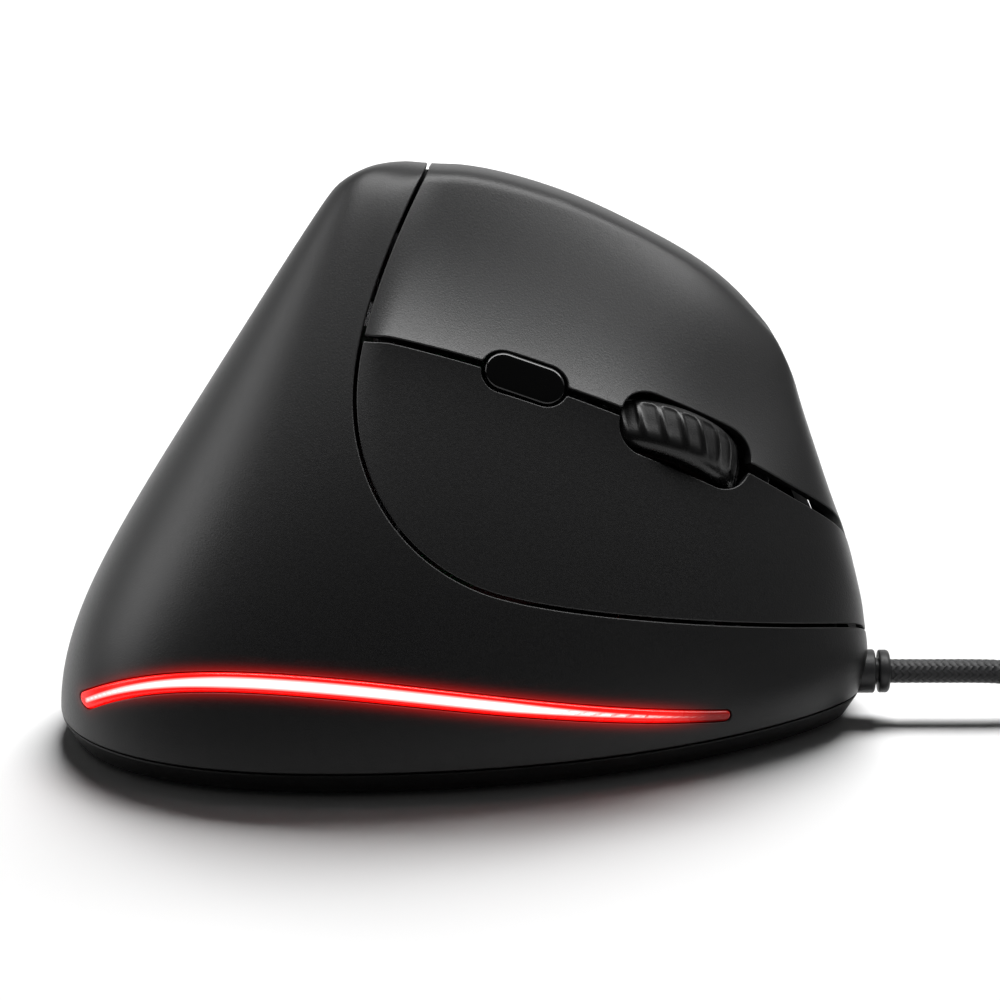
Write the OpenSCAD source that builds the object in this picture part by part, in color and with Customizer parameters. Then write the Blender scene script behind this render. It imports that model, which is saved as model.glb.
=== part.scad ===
// Vertical ergonomic mouse: two moulded shells on a base tray, with pivoting finger buttons,
// a scroll wheel on a rocking cradle, a speed button, two thumb keys, a light strip and a USB cable.
// +X is the nose, -Y the finger side, +Y the thumb side. The origin is on the desk, under the middle.

/* [Body] */
// Length from the heel of the palm to the nose
body_l = 116; // [108:1:126]
// Width from the finger side to the thumb ledge
body_w = 77; // [72:1:84]
// Height of the ridge above the desk
body_h = 79.2; // [75:0.2:84]
// Height of the shells' lower rim above the desk
rim_h = 4.2; // [3.9:0.1:5.4]
// Wall thickness of the two shells
wall = 2; // [1.6:0.1:2.4]
// Arch of the ridge, as a share of its width
ridge_arch = 0.13; // [0.08:0.01:0.2]

/* [Finger face] */
// Angle of the finger face from upright
finger_tilt = 34; // [31:1:37]
// Turn of the finger face towards the nose
finger_turn = 13; // [11:1:15]
// Height of the split between the finger buttons, up the face
split_height = 35.7; // [34:0.1:38]
// Slope of the split, down towards the nose
split_slope = 15.4; // [13:0.2:18]

/* [Finger buttons] */
// Wall thickness of the finger buttons
button_wall = 1.8; // [1.4:0.1:2.2]
// Gap round the finger buttons
seam_gap = 0.5; // [0.4:0.05:0.8]
// Gap between the two finger buttons, at the middle of the face
split_gap = 1.1; // [0.9:0.1:1.6]
// How far that gap opens towards the nose, in degrees
split_taper = 0.7; // [0:0.1:1]
// How far a finger button turns when it is pressed, in degrees
press_angle = 0.7; // [0.5:0.1:0.8]
// Diameter of the steel pin that both finger buttons turn on
pin_d = 2; // [1.6:0.1:2.4]
// Depth of that pin below the finger face
pin_depth = 7; // [6.4:0.1:8]
// Radial clearance of every running fit
running_gap = 0.05; // [0.02:0.01:0.08]
// Height of the seam between the finger buttons and the nose
nose_seam_h = 11.6; // [10.8:0.2:13]

/* [Scroll wheel] */
// Diameter of the tyre
wheel_d = 24; // [22:0.5:25]
// Width of the tyre
wheel_w = 7.4; // [6.6:0.1:8]
// How far the wheel stands out of the finger face
wheel_proud = 3.4; // [2.6:0.1:4]
// Place of the wheel along the split
wheel_at = 22.6; // [21:0.2:24]
// Length of the wheel opening
slot_l = 20.2; // [19:0.2:22]
// Width of the wheel opening
slot_w = 9.4; // [9:0.1:10.4]
// Number of slanted grip pads let into the tyre
pads = 24; // [16:1:28]
// Depth of the grip pads
pad_depth = 0.45; // [0.2:0.05:0.8]
// Width of a grip pad, round the tyre
pad_w = 2; // [1.4:0.1:2.4]
// Slant of the grip pads, in degrees
pad_slant = 30; // [0:1:35]
// Number of light slots in the hub
hub_slots = 12; // [8:1:16]
// How far the cradle turns when the wheel is pressed, in degrees
click_angle = 1.5; // [1:0.1:1.8]

/* [Speed button] */
// Length of the speed button
speed_l = 11.8; // [10:0.2:12.6]
// Width of the speed button
speed_w = 5.7; // [5:0.1:6.4]
// Gap round the speed button
speed_gap = 0.25; // [0.2:0.05:0.4]
// How far the speed button stands out
speed_proud = 0.7; // [0.6:0.1:1.2]
// Travel of the speed button
speed_travel = 0.5; // [0.3:0.1:0.6]
// Place of the speed button along the split
speed_at = -1.6; // [-2.4:0.2:-0.6]

/* [Thumb keys] */
// Length of one thumb key
key_l = 15; // [13:0.5:15.5]
// Height of one thumb key
key_h = 8; // [7:0.2:9]
// Gap between the two thumb keys
key_space = 2.6; // [2.4:0.1:3]
// Gap round a thumb key
key_gap = 0.4; // [0.3:0.05:0.6]
// How far a thumb key stands out
key_proud = 0.9; // [0.6:0.1:1.4]
// Travel of a thumb key
key_travel = 0.6; // [0.4:0.1:0.8]
// Height of the thumb keys above the desk
key_z = 57; // [56:0.5:59]

/* [Light strip] */
// Width of the light strip at its widest
strip_w = 3.2; // [2.4:0.1:4]
// Width of the light strip at its heel end
strip_start_w = 2.1; // [1.2:0.1:2.8]
// Width of the light strip at its nose end
strip_end_w = 1.1; // [0.8:0.1:2]

/* [Base] */
// Thickness of the gliding feet
foot_h = 0.8; // [0.6:0.1:1.2]
// Thickness of the tray's floor
floor_t = 2; // [1.8:0.1:2.4]
// How far the tray's edge draws in towards the desk
tray_draw = 2; // [1:0.1:3]
// Diameter of the base screws
screw_d = 2.2; // [1.8:0.1:2.6]
// Diameter of the base screws' heads
screw_head_d = 4.6; // [4:0.1:5.2]

/* [Boards and switches] */
// Thickness of the circuit boards
board_t = 1.6; // [1:0.1:1.8]
// Height of the main board above the desk
board_h = 7.2; // [6.8:0.1:8]
// Depth of the button board below the finger face, at the wheel
board_depth = 16.2; // [15.6:0.1:17]
// Spare gap between a pressed button and its switch
switch_gap = 0.12; // [0.05:0.01:0.3]

/* [Cable] */
// Diameter of the cable
cable_d = 3.5; // [3:0.1:3.8]
// Number of turns in the put-away coil
coil_turns = 10.8333; // [9.8333:1:11.8333]
// Radius of the coil's outer turn
coil_r = 31.4; // [31:0.1:33]
// Distance between neighbouring turns
coil_pitch = 4; // [3.95:0.05:4.2]
// Width of the strap round the coil
strap_w = 9; // [6:0.5:12]

/* [Hidden] */
$fn = 48;

far = 200;
half_l = body_l / 2;
half_w = body_w / 2;

// Form lines of the body, from the rim up to the ridge, as shares of half the length,
// half the width and the height above the rim
heel_line = [[-1, -.208, 0], [-1, -.156, .277], [-.637, .052, .495], [-.31, .234, 1.048],
    [-.241, .273, .998]];
finger_line = [[-.328, -1, 0], [-.259, -.909, .318], [-.069, -.286, .744], [-.052, .14, .97]];
nose_line = [[1, .078, 0], [1.005, .104, .291], [.778, .208, .44], [.825, .26, .62], [.77, .229, .642]];
thumb_line = [[-.103, 1, 0], [-.069, .961, .171], [0, .208, .264], [-.034, .623, .856], [-.052, .468, .935]];

// Fullness of the four corners between the form lines, at the rim and at the ridge
full_rim = [[.58, .66], [.7, .25], [.5, .5], [.5, .5]];
full_ridge = [[.55, .55], [.58, .31], [.45, .55], [.55, .55]];
// Crispness of the four corners: the finger face meets the nose at an edge
crisp = [1, 3, 1, 1];

function form(p) = [p.x * half_l, p.y * half_w, rim_h + p.z * (body_h - rim_h)];
lines = [for (line = [heel_line, finger_line, nose_line, thumb_line]) [for (p = line) form(p)]];

function lerp(a, b, t) = a + (b - a) * t;
function unit(v) = v / norm(v);
function bezier(p, t) =
    len(p) == 1 ? p[0] : bezier([for (i = [0:len(p) - 2]) lerp(p[i], p[i + 1], t)], t);

// Point on the body's side: u runs heel 0, finger side 1, nose 2, thumb side 3; t runs rim 0 to ridge 1
function ring(u, t) =
    let (
        w = u < 0 ? u + 4 : (u >= 4 ? u - 4 : u),
        q = floor(w),
        a = bezier(lines[q], t),
        b = bezier(lines[(q + 1) % 4], t),
        ka = lerp(full_rim[q][0], full_ridge[q][0], t),
        kb = lerp(full_rim[q][1], full_ridge[q][1], t),
        even = q % 2 == 0,
        p = even ? [a.x, lerp(a.y, b.y, ka), a.z] : [lerp(a.x, b.x, ka), a.y, a.z],
        r = even ? [lerp(b.x, a.x, kb), b.y, b.z] : [b.x, lerp(b.y, a.y, kb), b.z]
    )
    bezier([a, p, for (i = [1:crisp[q]]) r, b], 1 - pow(1 + q - w, 1 / sqrt(crisp[q])));

// Point on the ridge: s runs heel 0 to nose 1; v runs finger edge 0 to thumb edge 1
function ridge(s, v) =
    let (a = ring(2 * s, 1), b = ring(4 - 2 * s, 1))
    lerp(a, b, v) + [0, 0, 4 * v * (1 - v) * ridge_arch * norm(b - a)];

step = .01;
function side_normal(u, t) =
    let (low = max(t - step, 0), high = min(t + step, 1))
    unit(cross(ring(u + step, t) - ring(u - step, t), ring(u, high) - ring(u, low)));
function ridge_normal(s, v) =
    let (low = max(v - step, 0), high = min(v + step, 1))
    unit(cross(ridge(min(s + step, 1), v) - ridge(max(s - step, 0), v), ridge(s, high) - ridge(s, low)));
function edge_normal(u) =
    let (s = u <= 2 ? u / 2 : 2 - u / 2, tip = s < step || s > 1 - step)
    unit(side_normal(u, 1) + (tip ? [0, 0, 1] : ridge_normal(s, u <= 2 ? 0 : 1)));

// Solid of the whole body with its skin moved in by depth and its floor lowered by drop
module body_form(depth, corner_cols = 16, rows = 14, ridge_cols = 4, drop = 0) {
    cols = 4 * corner_cols;
    half = 2 * corner_cols;
    rim = [for (i = [0:cols - 1]) ring(i / corner_cols, 0) - depth * side_normal(i / corner_cols, 0)];
    floor_ring = [for (p = rim) [p.x, p.y, rim_h - drop]];
    sides = [for (j = [1:rows - 1], i = [0:cols - 1])
        ring(i / corner_cols, j / rows) - depth * side_normal(i / corner_cols, j / rows)];
    edge = [for (i = [0:cols - 1]) ring(i / corner_cols, 1) - depth * edge_normal(i / corner_cols)];
    top = [for (i = [1:half - 1], j = [1:ridge_cols - 1])
        ridge(i / half, j / ridge_cols) - depth * ridge_normal(i / half, j / ridge_cols)];
    edge_at = rows * cols;
    function top_at(i, j) =
        i == 0 ? edge_at :
        i == half ? edge_at + half :
        j == 0 ? edge_at + i :
        j == ridge_cols ? edge_at + cols - i :
        edge_at + cols + (i - 1) * (ridge_cols - 1) + j - 1;
    side_faces = [for (j = [0:rows - 1], i = [0:cols - 1])
        let (a = j * cols + i, b = j * cols + (i + 1) % cols)
        each [[a, a + cols, b + cols], [a, b + cols, b]]];
    top_faces = [for (i = [0:half - 1], j = [0:ridge_cols - 1])
        let (a = top_at(i, j), b = top_at(i + 1, j), c = top_at(i + 1, j + 1), d = top_at(i, j + 1))
        each [[a, c, b], [a, d, c]]];
    real_faces = [for (f = top_faces) if (f[0] != f[1] && f[1] != f[2] && f[0] != f[2]) f];
    polyhedron(
        [each floor_ring, each sides, each edge, each top],
        [[for (i = [0:cols - 1]) i], each side_faces, each real_faces],
        convexity = 6
    );
}

// Hollow of the body below a wall of the given thickness, open at the rim
module body_hollow(thickness) {
    body_form(thickness, 9, 9, 2, 1);
}

// Slab of skin over a patch of the body's side, between two depths
module skin_patch(u0, u1, cols, t0, t1, rows, outer, inner) {
    spots = [for (j = [0:rows], i = [0:cols]) [lerp(u0, u1, i / cols), lerp(t0, t1, j / rows)]];
    skin = [for (d = [outer, inner], s = spots) ring(s.x, s.y) - d * side_normal(s.x, s.y)];
    n = cols + 1;
    under = n * (rows + 1);
    faces = [for (j = [0:rows - 1], i = [0:cols - 1])
        let (a = j * n + i, b = a + 1, c = b + n, d = a + n)
        each [[a, d, c], [a, c, b], [under + a, under + c, under + d], [under + a, under + b, under + c]]];
    border = [
        for (i = [0:cols - 1]) i,
        for (j = [0:rows - 1]) j * n + cols,
        for (i = [cols:-1:1]) rows * n + i,
        for (j = [rows:-1:1]) j * n
    ];
    ends = [for (k = [0:len(border) - 1])
        let (a = border[k], b = border[(k + 1) % len(border)])
        each [[a, b, under + b], [a, under + b, under + a]]];
    polyhedron(skin, [each faces, each ends], convexity = 6);
}

// Where a line through (a, b) along the third row of axes meets the body's side, near (u, t)
function skin_hit(axes, a, b, u, t, passes = 8) =
    let (q = axes * ring(u, t))
    passes == 0 ? q.z :
    let (
        du = (axes * ring(u + step, t) - q) / step,
        dt = (axes * ring(u, t + step) - q) / step,
        det = du.x * dt.y - dt.x * du.y,
        ea = a - q.x,
        eb = b - q.y
    )
    skin_hit(axes, a, b, u + (ea * dt.y - dt.x * eb) / det, t + (du.x * eb - ea * du.y) / det, passes - 1);

// The finger face has its own axes: along it towards the nose, up it, and out of it
face_axes = [
    [cos(finger_turn), sin(finger_turn) * cos(finger_tilt), -sin(finger_turn) * sin(finger_tilt)],
    [0, sin(finger_tilt), cos(finger_tilt)],
    [sin(finger_turn), -cos(finger_turn) * cos(finger_tilt), cos(finger_turn) * sin(finger_tilt)]
];
function face_height(a, b) = skin_hit(face_axes, a, b, 1.3, .6);
module on_face() {
    rotate([90 - finger_tilt, 0, 0]) rotate([0, finger_turn, 0]) children();
}

// Axes that follow the split between the finger buttons
function split_spot(p, q) = [
    p * cos(split_slope) + q * sin(split_slope),
    split_height - p * sin(split_slope) + q * cos(split_slope)
];
function split_skin(p, q) =
    let (s = split_spot(p, q))
    face_height(s.x, s.y);
module on_split() {
    on_face() translate([0, split_height, 0]) rotate([0, 0, -split_slope]) children();
}

thumb_axes = [[1, 0, 0], [0, 0, 1], [0, 1, 0]];
function thumb_skin(x, z) = skin_hit(thumb_axes, x, z, 3 - x / half_l, .75);
nose_axes = [[0, 1, 0], [0, 0, 1], [1, 0, 0]];
function nose_skin(y, z) = skin_hit(nose_axes, y, z, 1.9, .05);

// Rim outline of the body, drawn in by inset
rim_sides = 64;
function rim_spot(u, inset) =
    let (p = ring(u, 0), d = ring(u + step, 0) - ring(u - step, 0), n = unit([d.y, -d.x]))
    [p.x, p.y] - inset * n;
function rim_outline(inset) = [for (i = [0:rim_sides - 1]) rim_spot(4 * i / rim_sides, inset)];

// Seam round the finger buttons: from the ridge down behind them and along to the nose
seam_back = [[-13.2, 71.5], [-18.5, 60], [-24.7, 45], [-24.7, 33]];
seam_turn = [[-24.7, 33], [-24.7, 17.5], [-15.5, 7], [-3, 5]];
seam_low = [[-3, 5], [8, 2.9], [34, 3.2], [56, 9.4]];
seam_steps = 8;
function along(curve, t, inset) =
    let (p = bezier(curve, t), d = unit(bezier(curve, t + step) - bezier(curve, t - step)))
    p + inset * [-d.y, d.x];
function past(curve, t, inset, length) =
    let (d = unit(bezier(curve, t + step) - bezier(curve, t - step)))
    along(curve, t, inset) + length * d;
// The outline runs on past the skin at both ends of the seam
seam_over = 20;
function opening_outline(inset) = [
    [far / 2, far / 2],
    [past(seam_back, 0, inset, -seam_over).x, far / 2],
    past(seam_back, 0, inset, -seam_over),
    for (curve = [seam_back, seam_turn, seam_low], i = [0:seam_steps - 1])
        along(curve, i / seam_steps, inset),
    past(seam_low, 1, inset, seam_over),
    [far / 2, past(seam_low, 1, inset, seam_over).y]
];
module finger_opening(inset) {
    intersection() {
        on_face() linear_extrude(body_w) polygon(opening_outline(inset));
        translate([-far, -far, nose_seam_h + inset]) cube(2 * far);
    }
}

// The two shells part on a leaning plane near the ridge's thumb edge
parting_y = 16.2;
parting_lean = 5;
parting_gap = 0.2;
module past_parting(shift) {
    translate([0, parting_y, body_h]) rotate([-parting_lean, 0, 0])
        translate([-far, shift, -far]) cube([2 * far, far, 2 * far]);
}

module pill(length, width) {
    square([length - width, width], center = true);
    for (side = [-1, 1]) translate([side * (length - width) / 2, 0]) circle(width / 2);
}
module rounded_rect(length, width, r) {
    square([length - 2 * r, width], center = true);
    square([length, width - 2 * r], center = true);
    for (x = [-1, 1], y = [-1, 1]) translate([x * (length / 2 - r), y * (width / 2 - r)]) circle(r);
}

// Hinge of the finger buttons
pin_a = -17;
pin_c = face_height(pin_a, split_height) - pin_depth;
pin_bore_r = pin_d / 2 + running_gap;
ear_r = pin_d / 2 + 1.8;
ear_t = 3;
left_ears = [45.5, 53];
right_ears = [18, 36];
frame_ears = [12.8, 40.7, 57.5];
pin_ends = [10.8, 59.3];
module across_face(b, thickness) {
    translate([0, b + thickness / 2, 0]) rotate([90, 0, 0]) linear_extrude(thickness) children();
}

// Stack of frame, button board and switches below the finger face
wheel_skin = split_skin(wheel_at, 0);
wheel_lean = atan2(split_skin(wheel_at - 8, 0) - split_skin(wheel_at + 8, 0), 16);
board_c = wheel_skin - board_depth;
frame_t = 2;
standoff_h = 1.5;
frame_c = board_c - board_t - standoff_h - frame_t;
switch_size = [12.8, 5.8, 6.5];
plunger_size = [2.6, 1.4, 0.9];
tact_w = 6;
tact_h = 3.4;
tact_plunger_d = 3.2;
tact_plunger_h = 0.9;
switch_p = 12;
switch_q = 9.6;

wheel_r = wheel_d / 2;
hub_r = wheel_r - 3;
axle_d = 2;
axle_r = axle_d / 2;
wheel_c = wheel_proud - wheel_r;
module at_wheel() {
    on_split() translate([wheel_at, 0, wheel_skin]) rotate([0, wheel_lean, 0])
        translate([0, 0, wheel_c]) children();
}
module wheel_turned() {
    rotate([90, 0, 0]) children();
}
arm_t = 1.4;
arm_gap = 0.7;
arm_y = wheel_w / 2 + arm_gap + arm_t / 2;
cradle_reach = wheel_r + 3;
cradle_half_h = 1.7;
pivot_x = cradle_reach;
pivot_ear_gap = 0.5;
pivot_ear_t = 2.4;
pivot_ear_y = arm_y + arm_t / 2 + pivot_ear_gap + pivot_ear_t / 2;

leg_spots = [[-14, -9], [33, 3.5], [6, 6]];
leg_r = 3;
main_l = 58;
main_w = 30;
main_mid = [-1, -1];
main_screw_spots = [for (x = [-1, 1], y = [-1, 1]) main_mid + [x * (main_l / 2 - 4), y * (main_w / 2 - 3.5)]];
tray_top = rim_h - parting_gap;
floor_top = foot_h + floor_t;
boss_inset = 7.8;
palm_bosses = [.42, 1.58];
thumb_bosses = [2.45, 3.5];
boss_r = 3.2;
boss_h = 5.5;
rib_t = 1.6;
rib_low = 2.6;
rib_h = 1.9;
lip_inset = wall + 1;
lip_t = 1.2;
lip_h = 1;
pilot_r = screw_d / 2 + running_gap;
sensor_spot = [2, -5];

// Cable outlet in the nose
gland_y = -3;
gland_z = 6.5;
gland_x = nose_skin(gland_y, gland_z);
neck_r = 2;
gland_flange_r = 3.15;
gland_collar_r = 3.1;
gland_inner_r = 3.9;
gland_back = 6;
gland_flange_t = 0.75;
gland_collar_at = 1.3;
collar_end = gland_x + 2.9;
lead_way = [28, 10];

thumb_mid_x = 5.6;
key_x = (key_l + key_space) / 2;
key_y = thumb_skin(thumb_mid_x + key_x + tact_plunger_d, key_z);
key_flange = 1.1;
key_flange_t = 1;
key_seat = wall + 0.7;
thumb_board_y = key_y - key_seat - key_flange_t - key_travel - switch_gap - tact_h - tact_plunger_h;
thumb_board_size = [45, 9];
thumb_board_t = 1.2;
thumb_post_x = 20;

// Light strip: an S-shaped band on the finger side's skirt, drawn as seen from that side
strip_curve = [[-53.6, 8.8], [-34, 23.6], [-2, 11.2], [36.5, 6.6]];
strip_steps = 20;
function strip_half(s) =
    let (c = min(max(s, 0), 1), swell = strip_w - (strip_start_w + strip_end_w) / 2)
    (lerp(strip_start_w, strip_end_w, c) + swell * sin(180 * c)) / 2;
function strip_edge(side, grow) = [for (i = [0:strip_steps])
    let (over = grow / 90, s = lerp(-over, 1 + over, i / strip_steps))
    along(strip_curve, s, side * (strip_half(s) + grow))];
function strip_outline(grow) = concat(
    strip_edge(1, grow),
    [for (i = [strip_steps:-1:0]) strip_edge(-1, grow)[i]]
);
module strip_prism(grow) {
    translate([0, -10, 0]) rotate([90, 0, 0]) linear_extrude(body_w) polygon(strip_outline(grow));
}
strip_gap = 0.1;
strip_flange = 0.7;
strip_back = wall + 0.7;

// Route of the cable: from the gland down to the desk, round the coil, and over to the plug
coil_mid = [110, -34.4];
strap_t = 0.5;
strap_gap = 0.1;
coil_low = strap_t + strap_gap + cable_d / 2;
coil_high = coil_low + coil_pitch;
run_points = [
    [collar_end, gland_y, gland_z], [64, -3, 6.5], [68, -3, 6.5], [72, -3, 6.5], [76, -3, 6.42],
    [79, -3, 6.1], [82, -3, 5.35], [85, -3, 4.3], [88, -3, 3.3], [91, -3, 2.65], [94, -3, 2.38],
    [98, -3, 2.35], [102, -3, 2.35], [coil_mid.x - cable_d, -3, 2.35]
];
tail_points = [
    [85.2, -12.7, 6.4], [86.8, -9.3, 6.55], [88.8, -5.9, 6.75], [91.2, -2.6, 6.8], [94.2, .6, 6.6],
    [97.8, 3.7, 6.1], [102, 6.3, 5.3], [106.8, 8.2, 4.4], [111.6, 8.9, 3.9], [115, 9, 3.8], [118, 9, 3.8]
];
plug_at = tail_points[len(tail_points) - 1];
run_sides = 8;
coil_sides = 6;
loop_rings = 24;

// Tube swept along points that never run upright
function path_tangent(p, i) = unit(p[min(i + 1, len(p) - 1)] - p[max(i - 1, 0)]);
function tube_ring(p, t, d, sides) =
    let (across = unit(cross(t, [0, 0, 1])), up = cross(across, t))
    [for (k = [0:sides - 1]) p + d / 2 * (cos(360 * k / sides) * across + sin(360 * k / sides) * up)];
module tube(points, d, sides, start = [], end = []) {
    n = len(points);
    tangents = [for (i = [0:n - 1])
        i == 0 && len(start) == 3 ? start : i == n - 1 && len(end) == 3 ? end : path_tangent(points, i)];
    rings = [for (i = [0:n - 1]) each tube_ring(points[i], tangents[i], d, sides)];
    walls = [for (i = [0:n - 2], k = [0:sides - 1])
        let (a = i * sides + k, b = i * sides + (k + 1) % sides)
        each [[a, b, b + sides], [a, b + sides, a + sides]]];
    first = [for (k = [1:sides - 2]) [0, k + 1, k]];
    last = (n - 1) * sides;
    final = [for (k = [1:sides - 2]) [last, last + k, last + k + 1]];
    polyhedron(rings, [each walls, each first, each final], convexity = 10);
}

// Coil: turns wind clockwise, in towards the middle on the low layer and out again on the high one
function smooth(x) = let (c = min(max(x, 0), 1)) c * c * (3 - 2 * c);
function coil_point(turn) =
    let (
        half_turns = coil_turns / 2,
        r = coil_r - coil_pitch * (half_turns - abs(half_turns - turn)),
        angle = 90 - 360 * turn,
        z = lerp(coil_low, coil_high, smooth((turn - half_turns) / .5 + .5))
    )
    [coil_mid.x + r * cos(angle), coil_mid.y + r * sin(angle), z];
coil_rings = round(coil_turns * loop_rings);
coil_spots = [for (i = [0:coil_rings]) coil_point(coil_turns * i / coil_rings)];
coil_in = [1, 0, 0];
coil_out = unit(coil_spots[coil_rings] - coil_spots[coil_rings - 1]);
coil_points = [
    coil_spots[0] - cable_d * coil_in,
    each coil_spots,
    coil_spots[coil_rings] + cable_d * coil_out
];
coil_inner_r = coil_r - coil_pitch * coil_turns / 2;

shell_black = [.07, .07, .075];
button_black = [.09, .09, .095];
rubber_black = [.03, .03, .03];
gloss_black = [.02, .02, .022];
board_green = [.05, .25, .12];
steel = [.75, .76, .78];

// Moulded parts

module gland_hole() {
    translate([gland_x - gland_back + 1.5, gland_y, gland_z]) rotate([0, 90, 0])
        cylinder(h = far, r = gland_flange_r + parting_gap / 2);
    translate([gland_x - far, gland_y, gland_z]) rotate([0, 90, 0])
        cylinder(h = far - gland_back + 1.6, r = gland_inner_r + parting_gap);
}

module shell_boss(u) {
    spot = rim_spot(u, boss_inset);
    edge = rim_spot(u, wall / 2);
    reach = norm(edge - spot);
    translate([spot.x, spot.y, floor_top]) difference() {
        union() {
            cylinder(h = boss_h + 1, r = boss_r);
            rotate([0, 0, atan2(edge.y - spot.y, edge.x - spot.x)])
                translate([boss_r / 2, -rib_t / 2, rim_h + rib_low - floor_top])
                    cube([reach - boss_r / 2, rib_t, rib_h]);
        }
        translate([0, 0, -1]) cylinder(h = boss_h + 1, r = pilot_r);
    }
}

module palm_shell() {
    color(shell_black) {
        difference() {
            body_form(0);
            body_hollow(wall);
            past_parting(-parting_gap / 2);
            finger_opening(0);
            strip_prism(0);
            gland_hole();
        }
        for (u = palm_bosses) shell_boss(u);
    }
}

module key_shape(x, grow) {
    translate([thumb_mid_x + x, 0, key_z]) rotate([-90, 0, 0]) linear_extrude(body_w / 2)
        rounded_rect(key_l + 2 * grow, key_h + 2 * grow, key_h / 3 + grow);
}

module thumb_shell() {
    color(shell_black) {
        difference() {
            intersection() {
                body_form(0);
                past_parting(parting_gap / 2);
            }
            body_hollow(wall);
            for (side = [-1, 1]) key_shape(side * key_x, key_gap);
        }
        for (u = thumb_bosses) shell_boss(u);
        for (side = [-1, 1]) thumb_post(side);
    }
}

// Post inside the thumb shell that the thumb board is screwed to
thumb_post_r = 2;
module thumb_post(side) {
    x = thumb_mid_x + side * thumb_post_x;
    skin = thumb_skin(x, key_z);
    translate([x, thumb_board_y, key_z]) rotate([-90, 0, 0]) difference() {
        cylinder(h = skin - wall / 2 - thumb_board_y, r = thumb_post_r);
        translate([0, 0, -1]) cylinder(h = 4, r = board_screw_r + running_gap);
    }
}

module button_blank(side) {
    difference() {
        intersection() {
            body_form(0);
            finger_opening(seam_gap);
            on_split() rotate([0, 0, side * split_taper / 2])
                translate([-far, side > 0 ? split_gap / 2 : -far - split_gap / 2, 0])
                    cube([2 * far, far, far]);
        }
        body_hollow(button_wall);
        past_parting(-parting_gap - seam_gap);
        on_split() translate([wheel_at, 0, 0]) linear_extrude(far)
            rounded_rect(slot_l, slot_w, slot_w * .45);
        on_split() translate([speed_at, 0, 0]) linear_extrude(far)
            pill(speed_l + 2 * speed_gap, speed_w + 2 * speed_gap);
        at_wheel() wheel_turned() cylinder(h = wheel_w + 1.6, r = wheel_r + .7, center = true);
    }
}

// Ear under a finger button, with the bore that turns on the pin
module button_ear(b) {
    top = [pin_a + 3.4, pin_a + 8];
    across_face(b, ear_t) difference() {
        union() {
            translate([pin_a, pin_c]) circle(ear_r);
            polygon([
                [pin_a - ear_r * .5, pin_c + ear_r * .8],
                [pin_a + ear_r * .9, pin_c - ear_r * .3],
                [top[1], face_height(top[1], b) - button_wall / 2],
                [top[0], face_height(top[0], b) - button_wall / 2]
            ]);
        }
        translate([pin_a, pin_c]) circle(pin_bore_r);
    }
}

// Post under a finger button that meets its switch
post_d = 3;
module button_post(side) {
    spot = split_spot(switch_p, side * switch_q);
    travel = (spot.x - pin_a) * sin(press_angle);
    foot = board_c + switch_size.z + plunger_size.z + travel + switch_gap;
    on_split() translate([switch_p, side * switch_q, foot])
        cylinder(h = split_skin(switch_p, side * switch_q) - button_wall / 2 - foot, d = post_d);
}

module left_button() {
    color(button_black) {
        button_blank(1);
        on_face() for (b = left_ears) button_ear(b);
        button_post(1);
    }
}

module right_button() {
    color(button_black) {
        button_blank(-1);
        on_face() for (b = right_ears) button_ear(b);
        button_post(-1);
    }
}

module button_pin() {
    color(steel) on_face() translate([pin_a, pin_ends[0], pin_c]) rotate([-90, 0, 0])
        cylinder(h = pin_ends[1] - pin_ends[0], d = pin_d);
}

// Inner frame: a leaning plate on three legs, with the ears of both pivots
plate_outline = [[-20, 11], [38, 11], [38, 32], [28, 42], [-20, 42]];
rail_half = 2.6;
rail_low = pin_c - 6.5;
rail_high = pin_c - ear_r - 0.6;
wheel_window = [2 * wheel_r * .78, wheel_w + 3];
module frame_pin_ear(b) {
    across_face(b, ear_t) difference() {
        union() {
            translate([pin_a, pin_c]) circle(ear_r);
            translate([pin_a - ear_r, rail_high - .5]) square([2 * ear_r, pin_c - rail_high + .5]);
        }
        translate([pin_a, pin_c]) circle(pin_d / 2 + .01);
    }
}
module pivot_ear(side) {
    at_wheel() translate([pivot_x, side * pivot_ear_y + pivot_ear_t / 2, 0]) wheel_turned()
        linear_extrude(pivot_ear_t) difference() {
            union() {
                circle(ear_r);
                translate([-ear_r, -14]) square([2 * ear_r, 14]);
            }
            circle(axle_r + .01);
        }
}
tower_post = [3, 2.2];
tower_q = tact_w / 2 + 2.6;
tower_bar = 5.2;
tower_bar_t = 2.4;
tower_depth = 7.5;
tower_gap = 0.3;
module speed_tower() {
    bar_c = split_skin(speed_at, 0) - tower_depth;
    on_split() translate([speed_at, 0, frame_c + frame_t / 2]) difference() {
        union() {
            for (side = [-1, 1]) translate([-tower_post.x / 2, side * tower_q - tower_post.y / 2, 0])
                cube([tower_post.x, tower_post.y, bar_c - frame_c - frame_t / 2]);
            translate([-tower_bar / 2, -tower_q - tower_post.y / 2, bar_c - frame_c - frame_t / 2])
                cube([tower_bar, 2 * tower_q + tower_post.y, tower_bar_t]);
        }
        cylinder(h = far, r = speed_stem_r + running_gap);
    }
}
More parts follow.
